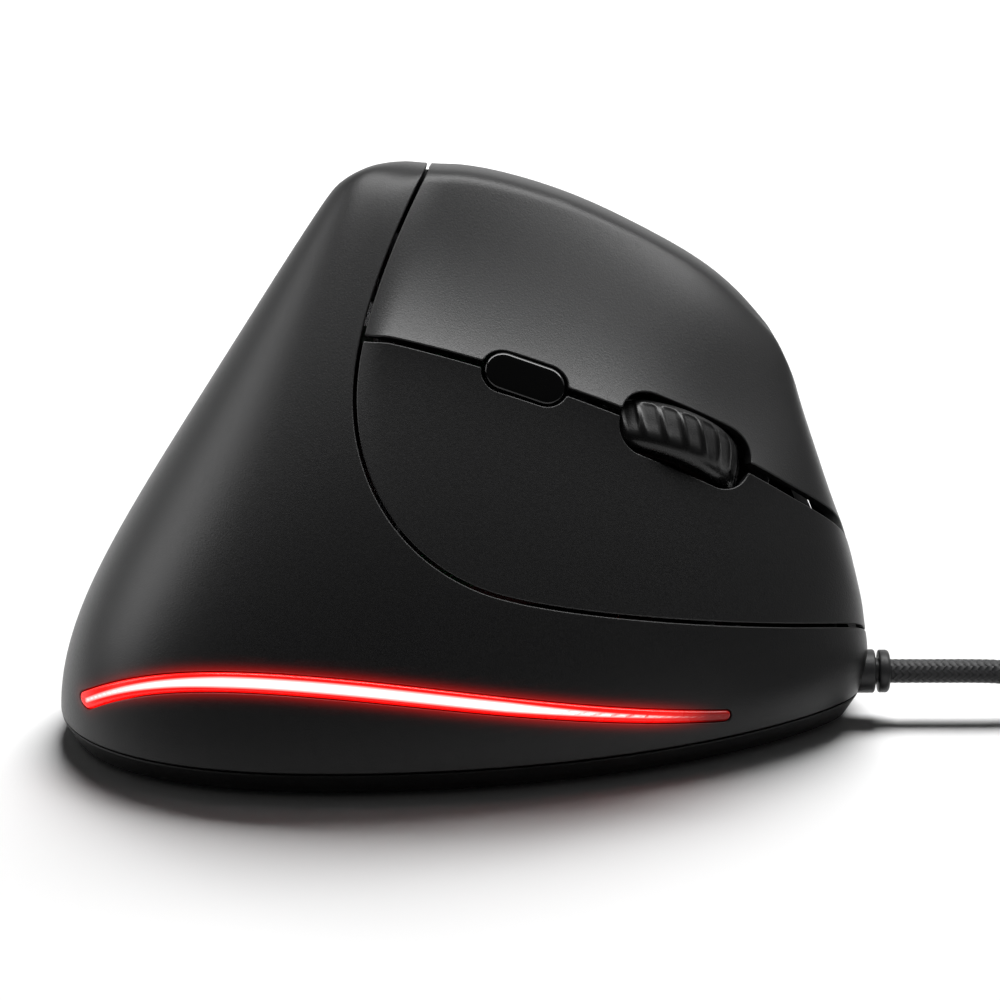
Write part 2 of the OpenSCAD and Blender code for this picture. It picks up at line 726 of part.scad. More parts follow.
module inner_frame() {
    color([.16, .16, .17]) {
        difference() {
            union() {
                on_face() translate([0, 0, frame_c]) linear_extrude(frame_t) polygon(plate_outline);
                on_face() translate([pin_a - rail_half, plate_outline[0].y, frame_c])
                    cube([2 * rail_half, plate_outline[3].y - plate_outline[0].y, rail_high - frame_c]);
                on_face() translate([pin_a - rail_half, plate_outline[0].y, rail_low])
                    cube([2 * rail_half, pin_ends[1] - 1 - plate_outline[0].y, rail_high - rail_low]);
                for (spot = board_screw_spots) on_face() translate([spot.x, spot.y, frame_c])
                    cylinder(h = frame_t + standoff_h, r = standoff_r);
                intersection() {
                    union() for (side = [-1, 1]) pivot_ear(side);
                    on_face() translate([-far, -far, frame_c]) cube([2 * far, 2 * far, far]);
                }
                speed_tower();
                difference() {
                    for (spot = leg_spots) translate([spot.x, spot.y, floor_top])
                        cylinder(h = body_h, r = leg_r);
                    on_face() translate([-far, -far, frame_c + frame_t / 2]) cube([2 * far, 2 * far, far]);
                }
            }
            at_wheel() translate([-wheel_window.x / 2, -wheel_window.y / 2, -far])
                cube([wheel_window.x, wheel_window.y, far]);
            for (spot = board_screw_spots) on_face() translate([spot.x, spot.y, frame_c - 1])
                cylinder(h = far, r = board_screw_r + running_gap);
            for (spot = leg_spots) translate([spot.x, spot.y, floor_top - 1])
                cylinder(h = boss_h + 1, r = pilot_r);
        }
        on_face() for (b = frame_ears) frame_pin_ear(b);
    }
}

// Circuit boards, switches and sensors

board_outline = [[-12.6, 12], [33, 12], [33, 36], [22, 46.4], [-12.6, 46.4]];
board_screw_spots = [[-9.5, 15.5], [29, 15.5], [-9.5, 39], [26, 38]];
board_screw_r = 0.8;
board_screw_head = [1.8, 1.2];
standoff_r = 2.2;
module button_board() {
    color(board_green) difference() {
        on_face() translate([0, 0, board_c - board_t]) linear_extrude(board_t) polygon(board_outline);
        at_wheel() translate([-wheel_r + 1, -wheel_window.y / 2, -far])
            cube([2 * wheel_r - 2, wheel_window.y, far]);
        for (spot = board_screw_spots) on_face() translate([spot.x, spot.y, board_c - far / 2])
            cylinder(h = far, r = board_screw_r + running_gap);
        on_split() for (side = [-1, 1]) translate([speed_at, side * tower_q, board_c])
            cube([tower_post.x + 2 * tower_gap, tower_post.y + 2 * tower_gap, far], center = true);
        at_wheel() for (side = [-1, 1])
            translate([pivot_x - ear_r - .5, side * pivot_ear_y - pivot_ear_t / 2 - .4, -far])
            cube([far, pivot_ear_t + .8, far]);
    }
}

module micro_switch() {
    translate([-switch_size.x / 2, -switch_size.y / 2, 0]) cube(switch_size);
    translate([-plunger_size.x / 2, -plunger_size.y / 2, switch_size.z - .5])
        cube([plunger_size.x, plunger_size.y, plunger_size.z + .5]);
}
module left_switch() {
    color(gloss_black) on_split() translate([switch_p, switch_q, board_c]) micro_switch();
}
module right_switch() {
    color(gloss_black) on_split() translate([switch_p, -switch_q, board_c]) micro_switch();
}

module tact_switch() {
    translate([-tact_w / 2, -tact_w / 2, 0]) cube([tact_w, tact_w, tact_h]);
    cylinder(h = tact_h + tact_plunger_h, d = tact_plunger_d);
}

// Scroll wheel on its rocking cradle

module cradle_bar(x) {
    translate([x, arm_y + arm_t / 2, 0]) wheel_turned() linear_extrude(2 * arm_y + arm_t) circle(ear_r);
}
module wheel_cradle() {
    color([.2, .2, .21]) at_wheel() difference() {
        union() {
            for (side = [-1, 1]) translate([-cradle_reach, side * arm_y - arm_t / 2, -cradle_half_h])
                cube([2 * cradle_reach, arm_t, 2 * cradle_half_h]);
            for (x = [-cradle_reach, pivot_x]) cradle_bar(x);
        }
        translate([0, far / 2, 0]) wheel_turned() cylinder(h = far, r = axle_r + running_gap);
        translate([pivot_x, far / 2, 0]) wheel_turned() cylinder(h = far, r = axle_r + running_gap);
    }
}
module cradle_pin() {
    color(steel) at_wheel() translate([pivot_x, pivot_ear_y + pivot_ear_t / 2, 0]) wheel_turned()
        cylinder(h = 2 * pivot_ear_y + pivot_ear_t, r = axle_r);
}
module wheel_axle() {
    color(steel) at_wheel() translate([0, arm_y + arm_t / 2, 0]) wheel_turned()
        cylinder(h = 2 * arm_y + arm_t, r = axle_r);
}
hub_web = 1.6;
hub_boss_r = 2.6;
slot_rim = 1.6;
module wheel_hub() {
    color([.12, .12, .12]) at_wheel() wheel_turned() difference() {
        union() {
            cylinder(h = hub_web, r = hub_r, center = true);
            cylinder(h = wheel_w, r = hub_boss_r, center = true);
            difference() {
                cylinder(h = wheel_w - .8, r = hub_r, center = true);
                cylinder(h = wheel_w, r = hub_r - slot_rim, center = true);
            }
        }
        cylinder(h = 2 * wheel_w, r = axle_r, center = true);
        for (i = [0:hub_slots - 1]) rotate([0, 0, 360 * i / hub_slots])
            translate([hub_boss_r + 1, -.6, -wheel_w])
                cube([hub_r - slot_rim - hub_boss_r - 1.8, 1.2, 2 * wheel_w]);
    }
}

// Tyre: a crowned ring with slanted grip pads let into its tread
tyre_crown = 1.1;
pad_reach = wheel_w / 2 - 1.1;
module tyre_section() {
    steps = 12;
    polygon([
        [hub_r, -wheel_w / 2],
        for (i = [-steps:steps])
            let (y = i / steps)
            [
                wheel_r - tyre_crown * (1 - pow(1 - pow(abs(y), 3), .5)) - (abs(i) == steps ? .6 : 0),
                y * wheel_w / 2
            ],
        [hub_r, wheel_w / 2]
    ]);
}
module wheel_tyre() {
    color(rubber_black) at_wheel() wheel_turned() difference() {
        rotate_extrude($fn = 96) tyre_section();
        for (i = [0:pads - 1]) rotate([0, 0, 360 * i / pads])
            translate([wheel_r - pad_depth, 0, 0]) rotate([pad_slant, 0, 0])
                translate([0, -pad_w / 2, -pad_reach]) cube([2, pad_w, 2 * pad_reach]);
    }
}

// Switch under the cradle's free bar, tall enough to leave only the click's travel
module wheel_switch() {
    bar = face_of_wheel([-cradle_reach, 0, -ear_r]);
    top = bar.z - 2 * cradle_reach * sin(click_angle) - switch_gap;
    color(gloss_black) on_split() translate([bar.x, 0, board_c]) rotate([0, 0, 90]) {
        translate([-switch_size.x / 2, -switch_size.y / 2, 0]) cube(switch_size);
        translate([-plunger_size.x / 2, -plunger_size.y / 2, 0])
            cube([plunger_size.x, plunger_size.y, top - board_c]);
    }
}
function face_of_wheel(p) = [
    wheel_at + p.x * cos(wheel_lean) + (p.z + wheel_c) * sin(wheel_lean),
    p.y,
    wheel_skin - p.x * sin(wheel_lean) + (p.z + wheel_c) * cos(wheel_lean)
];

encoder_size = [4, 2.6, 4.6];
module encoder_half(side) {
    axle = face_of_wheel([0, 0, 0]);
    on_split() translate([axle.x - encoder_size.x / 2, side * (arm_y + arm_t) - encoder_size.y / 2, board_c])
        cube(encoder_size);
}
module encoder_emitter() {
    color([.55, .5, .6]) encoder_half(1);
}
module encoder_receiver() {
    color(gloss_black) encoder_half(-1);
}

// Speed button: a pill with a stem that runs in the frame's tower down to its switch
speed_stem_r = 1.6;
speed_skirt = 2.6;
module speed_button() {
    skin = split_skin(speed_at, 0);
    stem_foot = board_c + tact_h + tact_plunger_h + speed_travel + switch_gap;
    color(gloss_black) on_split() translate([speed_at, 0, 0]) {
        translate([0, 0, skin + speed_proud - speed_skirt]) linear_extrude(speed_skirt - .3)
            pill(speed_l, speed_w);
        translate([0, 0, skin]) linear_extrude(speed_proud) pill(speed_l - .7, speed_w - .7);
        translate([0, 0, stem_foot]) cylinder(h = skin - stem_foot, r = speed_stem_r);
    }
}
module speed_switch() {
    color(gloss_black) on_split() translate([speed_at, 0, board_c]) tact_switch();
}

// Thumb keys, their board and switches

module thumb_key(side) {
    x = side * key_x;
    mid = thumb_mid_x + x;
    u0 = side > 0 ? 2.3 : 2.7;
    foot = thumb_board_y + tact_h + tact_plunger_h + key_travel + switch_gap;
    color(button_black) {
        intersection() {
            skin_patch(u0, u0 + 1, 16, .6, .95, 8, -key_proud, key_seat + key_flange_t / 2);
            key_shape(x, 0);
        }
        intersection() {
            skin_patch(u0, u0 + 1, 16, .6, .95, 8, key_seat, key_seat + key_flange_t);
            key_shape(x, key_flange);
        }
        translate([mid, foot, key_z]) rotate([-90, 0, 0])
            cylinder(h = thumb_skin(mid, key_z) - key_seat - foot, d = tact_plunger_d);
    }
}
module thumb_key_front() {
    thumb_key(1);
}
module thumb_key_rear() {
    thumb_key(-1);
}
module thumb_board() {
    color(board_green) translate([thumb_mid_x, thumb_board_y, key_z]) rotate([90, 0, 0]) difference() {
        linear_extrude(thumb_board_t) rounded_rect(thumb_board_size.x, thumb_board_size.y, 1.5);
        for (side = [-1, 1]) translate([side * thumb_post_x, 0, -1])
            cylinder(h = 4, r = board_screw_r + running_gap);
    }
}
module thumb_switches() {
    color(gloss_black) for (side = [-1, 1])
        translate([thumb_mid_x + side * key_x, thumb_board_y, key_z]) rotate([-90, 0, 0]) tact_switch();
}

// Light strip and its lamps

module light_strip() {
    color([1, .08, .05]) {
        intersection() {
            skin_patch(.1, 1.8, 34, 0, .32, 6, 0, strip_back + .5);
            strip_prism(-strip_gap);
        }
        intersection() {
            skin_patch(.1, 1.8, 34, 0, .32, 6, strip_back, strip_back + 1);
            strip_prism(strip_flange);
        }
    }
}
led_size = [3, 2, 2];
module strip_leds() {
    color([.9, .9, .8]) for (x = [-18, 0, 18])
        translate([main_mid.x + x - led_size.x / 2, main_mid.y - main_w / 2, board_h + board_t])
            cube(led_size);
}

// Base: tray, feet, screws, main board and sensor

function ring_at(inset, z) = [for (p = rim_outline(inset)) [p.x, p.y, z]];
module tray_block() {
    n = rim_sides;
    walls = [for (i = [0:n - 1])
        let (a = i, b = (i + 1) % n)
        each [[a, a + n, b + n], [a, b + n, b]]];
    polyhedron(
        concat(ring_at(tray_draw, foot_h), ring_at(0.1, tray_top)),
        [[for (i = [0:n - 1]) i], each walls, [for (i = [2 * n - 1:-1:n]) i]]
    );
}
module screw_spots() {
    for (u = concat(palm_bosses, thumb_bosses)) {
        spot = rim_spot(u, boss_inset);
        translate([spot.x, spot.y, 0]) children();
    }
    for (spot = leg_spots) translate([spot.x, spot.y, 0]) children();
}
head_sink = floor_t / 2 + .1;
sensor_hole = [9, 7];
module base_tray() {
    color([.05, .05, .053]) {
        difference() {
            tray_block();
            translate([0, 0, floor_top]) linear_extrude(far) polygon(rim_outline(lip_inset + lip_t));
            screw_spots() {
                translate([0, 0, -1]) cylinder(h = far, r = screw_d / 2 + .15);
                translate([0, 0, -1]) cylinder(h = 1 + foot_h + head_sink, d = screw_head_d + .4);
            }
            translate([sensor_spot.x, sensor_spot.y, -1]) linear_extrude(far)
                rounded_rect(sensor_hole.x, sensor_hole.y, 2);
            gland_hole();
        }
        difference() {
            translate([0, 0, floor_top]) linear_extrude(tray_top + lip_h - floor_top) difference() {
                polygon(rim_outline(lip_inset));
                polygon(rim_outline(lip_inset + lip_t));
            }
            translate([gland_x - lead_way.x / 2, gland_y - lead_way.y / 2, tray_top])
                cube([lead_way.x, lead_way.y, far]);
            gland_hole();
        }
        for (spot = main_screw_spots) translate([spot.x, spot.y, floor_top - .5]) difference() {
            cylinder(h = board_h - floor_top + .5, r = 2.4);
            translate([0, 0, 1.2]) cylinder(h = far, r = board_screw_r + running_gap);
        }
    }
}

foot_inset = 3.4;
foot_w = 4.6;
foot_spans = [[-.2, .36], [.78, 1.08], [1.97, 2.2], [2.82, 3.16]];
module glide_feet() {
    n = 14;
    color([.12, .12, .125]) for (span = foot_spans) {
        outer = [for (i = [0:n]) rim_spot(lerp(span[0], span[1], i / n), tray_draw + foot_inset)];
        inner = [for (i = [n:-1:0]) rim_spot(lerp(span[0], span[1], i / n), tray_draw + foot_inset + foot_w)];
        linear_extrude(foot_h) polygon(concat(outer, inner));
    }
}

module base_screws() {
    color(steel) screw_spots() difference() {
        union() {
            translate([0, 0, foot_h + .15]) cylinder(h = head_sink - .15, d = screw_head_d);
            translate([0, 0, foot_h + .15]) cylinder(h = floor_top + boss_h - 2 - foot_h, d = screw_d);
        }
        for (turn = [0, 90]) rotate([0, 0, turn]) translate([-1.3, -.3, 0]) cube([2.6, .6, foot_h + .7]);
    }
}

module main_board() {
    color(board_green) translate([0, 0, board_h]) difference() {
        translate([main_mid.x, main_mid.y, 0]) linear_extrude(board_t) rounded_rect(main_l, main_w, 3);
        for (spot = leg_spots) translate([spot.x, spot.y, -1]) cylinder(h = 4, r = leg_r + .4);
        for (spot = main_screw_spots) translate([spot.x, spot.y, -1])
            cylinder(h = 4, r = board_screw_r + running_gap);
        translate([sensor_spot.x, sensor_spot.y, -1]) cylinder(h = 4, r = 2.2);
    }
}
module main_chip() {
    color(gloss_black) translate([main_mid.x - 16, main_mid.y - 2, board_h + board_t]) cube([7, 7, 1]);
}
module board_screw() {
    cylinder(h = board_screw_head[1], r = board_screw_head[0]);
    translate([0, 0, -4]) cylinder(h = 4, r = board_screw_r);
}
module board_screws() {
    color(steel) {
        for (spot = main_screw_spots) translate([spot.x, spot.y, board_h + board_t]) board_screw();
        on_face() for (spot = board_screw_spots) translate([spot.x, spot.y, board_c]) board_screw();
        for (side = [-1, 1])
            translate([thumb_mid_x + side * thumb_post_x, thumb_board_y - thumb_board_t, key_z])
            rotate([90, 0, 0]) board_screw();
    }
}
module sensor_chip() {
    color(gloss_black) translate([sensor_spot.x - 5.5, sensor_spot.y - 4.6, board_h + board_t])
        cube([11, 9.2, 2.6]);
}
module sensor_lens() {
    plate = [15, 12, 1.6];
    color([.8, .85, .9, .5]) translate([sensor_spot.x, sensor_spot.y, 0]) {
        translate([-plate.x / 2, -plate.y / 2, board_h - plate.z]) cube(plate);
        translate([0, 0, foot_h + 1]) linear_extrude(board_h - foot_h - 1 - plate.z / 2)
            rounded_rect(sensor_hole.x - .6, sensor_hole.y - .6, 1.7);
    }
}

// Cable

header_size = [5, 8, 5];
header_x = main_mid.x + main_l / 2 - 6.2;
module cable_header() {
    color([.85, .85, .8]) translate([header_x, gland_y - header_size.y / 2, board_h + board_t])
        cube(header_size);
}
lead_d = 3;
module inner_lead() {
    lead_z = board_h + board_t + header_size.z / 2;
    points = [
        [gland_x - gland_back, gland_y, gland_z], [gland_x - 7.5, gland_y, gland_z],
        [gland_x - 10, gland_y, gland_z + .8],
        [gland_x - 13, gland_y, lead_z - 1.2], [gland_x - 16, gland_y, lead_z],
        [header_x + header_size.x, gland_y, lead_z]
    ];
    color(rubber_black) tube(points, lead_d, run_sides, [-1, 0, 0], [-1, 0, 0]);
}
module strain_relief() {
    color(rubber_black) translate([gland_x, gland_y, gland_z]) rotate([0, 90, 0]) {
        translate([0, 0, -gland_back]) cylinder(h = 1.4, r = gland_inner_r);
        translate([0, 0, -gland_back]) cylinder(h = gland_back + gland_flange_t, r = gland_flange_r);
        cylinder(h = gland_collar_at + .5, r = neck_r);
        translate([0, 0, gland_collar_at])
            cylinder(h = collar_end - gland_x - gland_collar_at, r = gland_collar_r);
    }
}
module cable_run() {
    color(rubber_black) tube(run_points, cable_d, run_sides, [1, 0, 0], coil_in);
}
module cable_coil() {
    skip = floor(loop_rings / 2);
    gaps = [for (i = [0:coil_rings - skip], j = [i + skip:coil_rings]) norm(coil_spots[i] - coil_spots[j])];
    echo(least_coil_gap = min(gaps) - cable_d);
    color(rubber_black) tube(coil_points, cable_d, coil_sides, coil_in, coil_out);
}
module cable_tail() {
    last = len(coil_points) - 1;
    color(rubber_black) tube([coil_points[last], each tail_points], cable_d, run_sides, coil_out, [1, 0, 0]);
}

// Strap round the bundle of turns, on the side away from the cable's way in
module cable_strap() {
    bulge = strap_w * strap_w / 8 / coil_inner_r;
    inner_edge = coil_inner_r - cable_d / 2 - bulge - strap_gap;
    outer_edge = coil_r + cable_d / 2 + strap_gap;
    high = coil_high + cable_d / 2 + strap_gap;
    span = outer_edge - inner_edge;
    color([.1, .1, .1])
        translate([coil_mid.x - strap_w / 2, coil_mid.y - (inner_edge + outer_edge) / 2, (high + strap_t) / 2])
        rotate([90, 0, 90]) linear_extrude(strap_w) difference() {
            rounded_rect(span + 2 * strap_t, high + strap_t, 1.6);
            rounded_rect(span, high - strap_t, 1.1);
        }
}

plug_l = 27;
plug_w = 15;
plug_h = 7.6;
plug_nose = 3;
shell_l = 12;
shell_w = 12;
shell_h = 4.5;
window_w = 2.3;
window_x = 2.9;
window_z = 5.2;
sheet_t = 0.35;
module at_plug() {
    translate(plug_at) rotate([90, 0, 90]) children();
}
module usb_plug_body() {
    color(rubber_black) at_plug() {
        cylinder(h = plug_nose + 1, d1 = cable_d + 1.2, d2 = plug_h - 1);
        translate([0, 0, plug_nose]) linear_extrude(plug_l - plug_nose) rounded_rect(plug_w, plug_h, 2);
    }
}
module usb_plug_shell() {
    color(steel) at_plug() translate([0, 0, plug_l]) difference() {
        linear_extrude(shell_l) rounded_rect(shell_w, shell_h, .6);
        translate([0, 0, sheet_t]) linear_extrude(shell_l)
            rounded_rect(shell_w - 2 * sheet_t, shell_h - 2 * sheet_t, .4);
        for (x = [-1, 1]) translate([x * window_x - window_w / 2, -shell_h, window_z])
            cube([window_w, 2 * shell_h, window_w]);
    }
}
module usb_plug_tongue() {
    tongue = [shell_w - 2 * sheet_t - 1, 1.9, shell_l - sheet_t - .6];
    color([.9, .9, .9]) at_plug() translate([-tongue.x / 2, -shell_h / 2 + sheet_t, plug_l + sheet_t])
        cube(tongue);
}

palm_shell();
thumb_shell();
left_button();
right_button();
button_pin();
inner_frame();
button_board();
left_switch();
right_switch();
wheel_cradle();
cradle_pin();
wheel_hub();
wheel_tyre();
wheel_axle();
wheel_switch();
encoder_emitter();
encoder_receiver();
speed_button();
speed_switch();
thumb_key_front();
thumb_key_rear();
thumb_board();
thumb_switches();
light_strip();
strip_leds();
base_tray();
glide_feet();
base_screws();
main_board();
main_chip();
board_screws();
sensor_chip();
sensor_lens();
cable_header();
inner_lead();
strain_relief();
cable_run();
cable_coil();
cable_tail();
cable_strap();
usb_plug_body();
usb_plug_shell();
usb_plug_tongue();
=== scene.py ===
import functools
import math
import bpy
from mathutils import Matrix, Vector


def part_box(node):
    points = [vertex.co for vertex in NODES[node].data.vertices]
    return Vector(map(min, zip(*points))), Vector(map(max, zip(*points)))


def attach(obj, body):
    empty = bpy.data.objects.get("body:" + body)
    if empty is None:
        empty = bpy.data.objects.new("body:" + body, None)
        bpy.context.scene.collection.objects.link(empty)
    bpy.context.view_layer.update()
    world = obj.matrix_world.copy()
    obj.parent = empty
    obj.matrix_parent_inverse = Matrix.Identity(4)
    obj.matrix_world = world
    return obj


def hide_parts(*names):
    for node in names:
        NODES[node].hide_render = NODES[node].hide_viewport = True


bl_info = {
    "name": "Upright Mouse",
    "version": (1, 0, 0),
    "blender": (4, 5, 0),
    "location": "3D View > Sidebar > Mouse",
    "description": "Dresses the packed model of an upright mouse and sets its studio",
    "category": "Object",
}

import bpy
import numpy as np
from mathutils import Matrix, Vector
from mathutils.geometry import delaunay_2d_cdt

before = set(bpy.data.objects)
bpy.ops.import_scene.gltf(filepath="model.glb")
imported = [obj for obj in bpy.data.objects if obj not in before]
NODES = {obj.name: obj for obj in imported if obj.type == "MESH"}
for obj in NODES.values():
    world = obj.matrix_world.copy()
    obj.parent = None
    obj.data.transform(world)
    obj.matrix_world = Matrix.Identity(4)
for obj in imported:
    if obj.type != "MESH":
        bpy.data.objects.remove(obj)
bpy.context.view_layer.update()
MM = 0.001

# The body's form, as the part's source gives it, in millimetres

HALF_L, HALF_W = 58.0, 38.5
RIM_H, BODY_H = 4.2, 79.2
RIDGE_ARCH = 0.13
HEEL_LINE = [[-1, -.208, 0], [-1, -.156, .277], [-.637, .052, .495], [-.31, .234, 1.048], [-.241, .273, .998]]
FINGER_LINE = [[-.328, -1, 0], [-.259, -.909, .318], [-.069, -.286, .744], [-.052, .14, .97]]
NOSE_LINE = [[1, .078, 0], [1.005, .104, .291], [.778, .208, .44], [.825, .26, .62], [.77, .229, .642]]
THUMB_LINE = [[-.103, 1, 0], [-.069, .961, .171], [0, .208, .264], [-.034, .623, .856], [-.052, .468, .935]]
FULL_RIM = [[.58, .66], [.7, .25], [.5, .5], [.5, .5]]
FULL_RIDGE = [[.55, .55], [.58, .31], [.45, .55], [.55, .55]]
CRISP = (1, 3, 1, 1)
NOSE_TUCK, TUCK_H, TUCK_MID, TUCK_SPAN = 1.5, 7.0, 1.95, .4
FORM_LINES = [
    np.array(line, float) * [HALF_L, HALF_W, BODY_H - RIM_H] + [0, 0, RIM_H]
    for line in (HEEL_LINE, FINGER_LINE, NOSE_LINE, THUMB_LINE)
]

# Finger face, its seam and the split between the two buttons
TILT, TURN, SLOPE = math.radians(34), math.radians(13), math.radians(15.4)
SPLIT_HEIGHT = 35.7
FACE_A = np.array([math.cos(TURN), math.sin(TURN) * math.cos(TILT), -math.sin(TURN) * math.sin(TILT)])
FACE_B = np.array([0, math.sin(TILT), math.cos(TILT)])
FACE_C = np.array([math.sin(TURN), -math.cos(TURN) * math.cos(TILT), math.cos(TURN) * math.sin(TILT)])
SPLIT_P = math.cos(SLOPE) * FACE_A - math.sin(SLOPE) * FACE_B
SPLIT_Q = math.sin(SLOPE) * FACE_A + math.cos(SLOPE) * FACE_B
SEAM_BACK = [[-13.2, 71.5], [-18.5, 60], [-24.7, 45], [-24.7, 33]]
SEAM_TURN = [[-24.7, 33], [-24.7, 17.5], [-15.5, 7], [-3, 5]]
SEAM_LOW = [[-3, 5], [8, 2.9], [34, 3.2], [56, 9.4]]
SEAM_GAP, SPLIT_GAP, NOSE_SEAM_H, SEAM_RUN_OUT = 0.48, 1.1, 11.6, 20
SPLIT_TAPER = math.radians(.7)
PARTING_AT = np.array([0, 16.2, BODY_H])
PARTING_OUT = np.array([0, math.cos(math.radians(5)), -math.sin(math.radians(5))])
PARTING_GAP, RIDGE_GAP = 0.2, 0.72

# Wheel, speed button and thumb keys
WHEEL_AT, WHEEL_SKIN, WHEEL_LEAN = 22.6, 39.0204, math.radians(11.3723)
WHEEL_R, WHEEL_W, WHEEL_PROUD, HUB_R = 12.0, 7.4, 3.4, 9.0
SLOT_L, SLOT_W = 20.2, 9.4
SPEED_AT, SPEED_L, SPEED_W, SPEED_GAP = -1.6, 11.8, 5.7, 0.25
SPEED_SPOT = np.array([7.72328, -13.2181, 52.4902])
KEY_MIDS, KEY_Z, KEY_L, KEY_H, KEY_GAP, KEY_PROUD = (14.4, -3.2), 57.0, 15.0, 8.0, 0.4, 0.9

# Light strip, as seen from the finger side
STRIP_CURVE = [[-52.8, 9.4], [-35.5, 22.1], [-2, 13.1], [35.7, 7.3]]
STRIP_W, STRIP_START_W, STRIP_END_W, STRIP_GAP = 2.8, 2.2, 1.7, 0.1
# Red glow painted on the palm shell beside the strip: how far it reaches, how it falls off, and how it
# starts, rises and fades along the strip
HALO_REACH, HALO_CURVE, HALO_START, HALO_RISE, HALO_FALL = 0.6, 1.5, .2, .25, .12

# Base and cable outlet
FOOT_H, FLOOR_TOP, TRAY_TOP, LIP_TOP = 0.8, 2.8, 4.0, 5.0
SCREW_SPOTS = [(-45.2529, -21.8981), (40.9816, -11.7774), (37.3042, 18.7598), (-36.5435, 18.1511),
               (-14, -9), (33, 3.5), (6, 6)]
SENSOR_SPOT = (2.0, -5.0)
GLAND, GLAND_R = np.array([57.9037, -3.0, 6.5]), 3.25

# Cable route
CABLE_D = 3.5
RUN_POINTS = [
    [60.8037, -3, 6.5], [64, -3, 6.5], [68, -3, 6.5], [72, -3, 6.5], [76, -3, 6.42], [79, -3, 6.1],
    [82, -3, 5.35], [85, -3, 4.3], [88, -3, 3.3], [91, -3, 2.65], [94, -3, 2.38], [98, -3, 2.35],
    [102, -3, 2.35], [106.5, -3, 2.35],
]
TAIL_POINTS = [
    [85.2, -12.7, 6.4], [86.8, -9.3, 6.55], [88.8, -5.9, 6.75], [91.2, -2.6, 6.8], [94.2, .6, 6.6],
    [97.8, 3.7, 6.1], [102, 6.3, 5.3], [106.8, 8.2, 4.4], [111.6, 8.9, 3.9], [115, 9, 3.8], [118, 9, 3.8],
]
COIL_MID, COIL_TURNS, COIL_R, COIL_PITCH = (110.0, -34.4), 10.8333, 31.4, 4.0
COIL_LOW, COIL_HIGH, LOOP_RINGS = 2.35, 6.35, 24
PLUG_AT, PLUG_L = np.array([118.0, 9.0, 3.8]), 27.0


def mix(a, b, t):
    return a + (b - a) * t


def smooth(x):
    c = np.clip(x, 0, 1)
    return c * c * (3 - 2 * c)


def bezier(points, t):
    layer = [np.broadcast_to(np.asarray(p, float), t.shape + np.shape(p)[-1:]) for p in points]
    while len(layer) > 1:
        layer = [mix(a, b, t[..., None]) for a, b in zip(layer, layer[1:])]
    return layer[0]


def side_point(u, t):
    """Points on the body's side: u runs heel 0, finger side 1, nose 2, thumb side 3; t runs up it, 0 to 1."""
    u = np.mod(np.asarray(u, float), 4.0)
    t = np.asarray(t, float)
    out = np.zeros(u.shape + (3,))
    corner = np.minimum(np.floor(u).astype(int), 3)
    for q in range(4):
        pick = corner == q
        if not pick.any():
            continue
        w, k = 1 - (1 + q - u[pick]) ** (1 / math.sqrt(CRISP[q])), t[pick]
        a, b = bezier(FORM_LINES[q], k), bezier(FORM_LINES[(q + 1) % 4], k)
        ka = mix(FULL_RIM[q][0], FULL_RIDGE[q][0], k)
        kb = mix(FULL_RIM[q][1], FULL_RIDGE[q][1], k)
        p, r = a.copy(), b.copy()
        first, second = (1, 0) if q % 2 == 0 else (0, 1)
        p[:, first] = mix(a[:, first], b[:, first], ka)
        r[:, second] = mix(b[:, second], a[:, second], kb)
        out[pick] = bezier([a, p] + [r] * CRISP[q] + [b], w)
    low = np.clip(1 - (out[..., 2] - RIM_H) / TUCK_H, 0, 1)
    out[..., 0] -= NOSE_TUCK * low ** 2 * np.exp(-((u - TUCK_MID) / TUCK_SPAN) ** 2)
    return out


def ridge_point(s, v):
    """Points on the ridge: s runs heel 0 to nose 1; v runs finger edge 0 to thumb edge 1."""
    a = side_point(2 * s, np.ones_like(s))
    b = side_point(4 - 2 * s, np.ones_like(s))
    p = mix(a, b, v[:, None])
    p[:, 2] += 4 * v * (1 - v) * RIDGE_ARCH * np.linalg.norm(b - a, axis=1)
    return p


def rim_outline(inset, count):
    u = np.arange(count) * 4.0 / count
    zero = np.zeros_like(u)
    p = side_point(u, zero)[:, :2]
    d = (side_point(u + .01, zero) - side_point(u - .01, zero))[:, :2]
    n = np.stack([d[:, 1], -d[:, 0]], axis=1)
    return p - inset * n / np.linalg.norm(n, axis=1)[:, None]


def unit(v):
    return v / np.maximum(np.linalg.norm(v, axis=-1, keepdims=True), 1e-12)


def vertex_normals(points, triangles):
    a, b, c = (points[triangles[:, k]] for k in range(3))
    face = np.cross(b - a, c - a)
    total = np.zeros_like(points)
    for k in range(3):
        for axis in range(3):
            total[:, axis] += np.bincount(triangles[:, k], face[:, axis], len(points))
    return unit(total)


SKIN_COLS, SKIN_ROWS, RIDGE_STRIPS = 320, 96, 16
CREASE_PULL, CREASE_REACH, CREASE_PASSES = .6, .7, 4
EASE_PULL, EASE_REACH, EASE_PASSES = .6, 4.5, 40
HEEL_RUN, HEEL_FROM, HEEL_RISE = 5.0, 58.0, 8.0

# Swells (spot in x and z, way, reach, height) and rounded ends (way, where they start, softness)
SWELLS = [((-4, 77.6), (0, 0, 1), 6.5, .7), ((34.18, 59.54), (.5, 0, .86), 7.92, 1.06),
          ((49.86, 39.24), (.96, 0, .28), 6.17, .45)]
ROUNDED_ENDS = [((-.346, .26, .9), 76.33, 1.6), ((.7831, .1614, .6006), 67.885, .846),
                ((.9029, .1094, .4156), 62.591, .429)]


def face_sides(triangles):
    """Every triangle's three sides, in the triangle's own direction."""
    return np.concatenate([triangles[:, [0, 1]], triangles[:, [1, 2]], triangles[:, [2, 0]]])


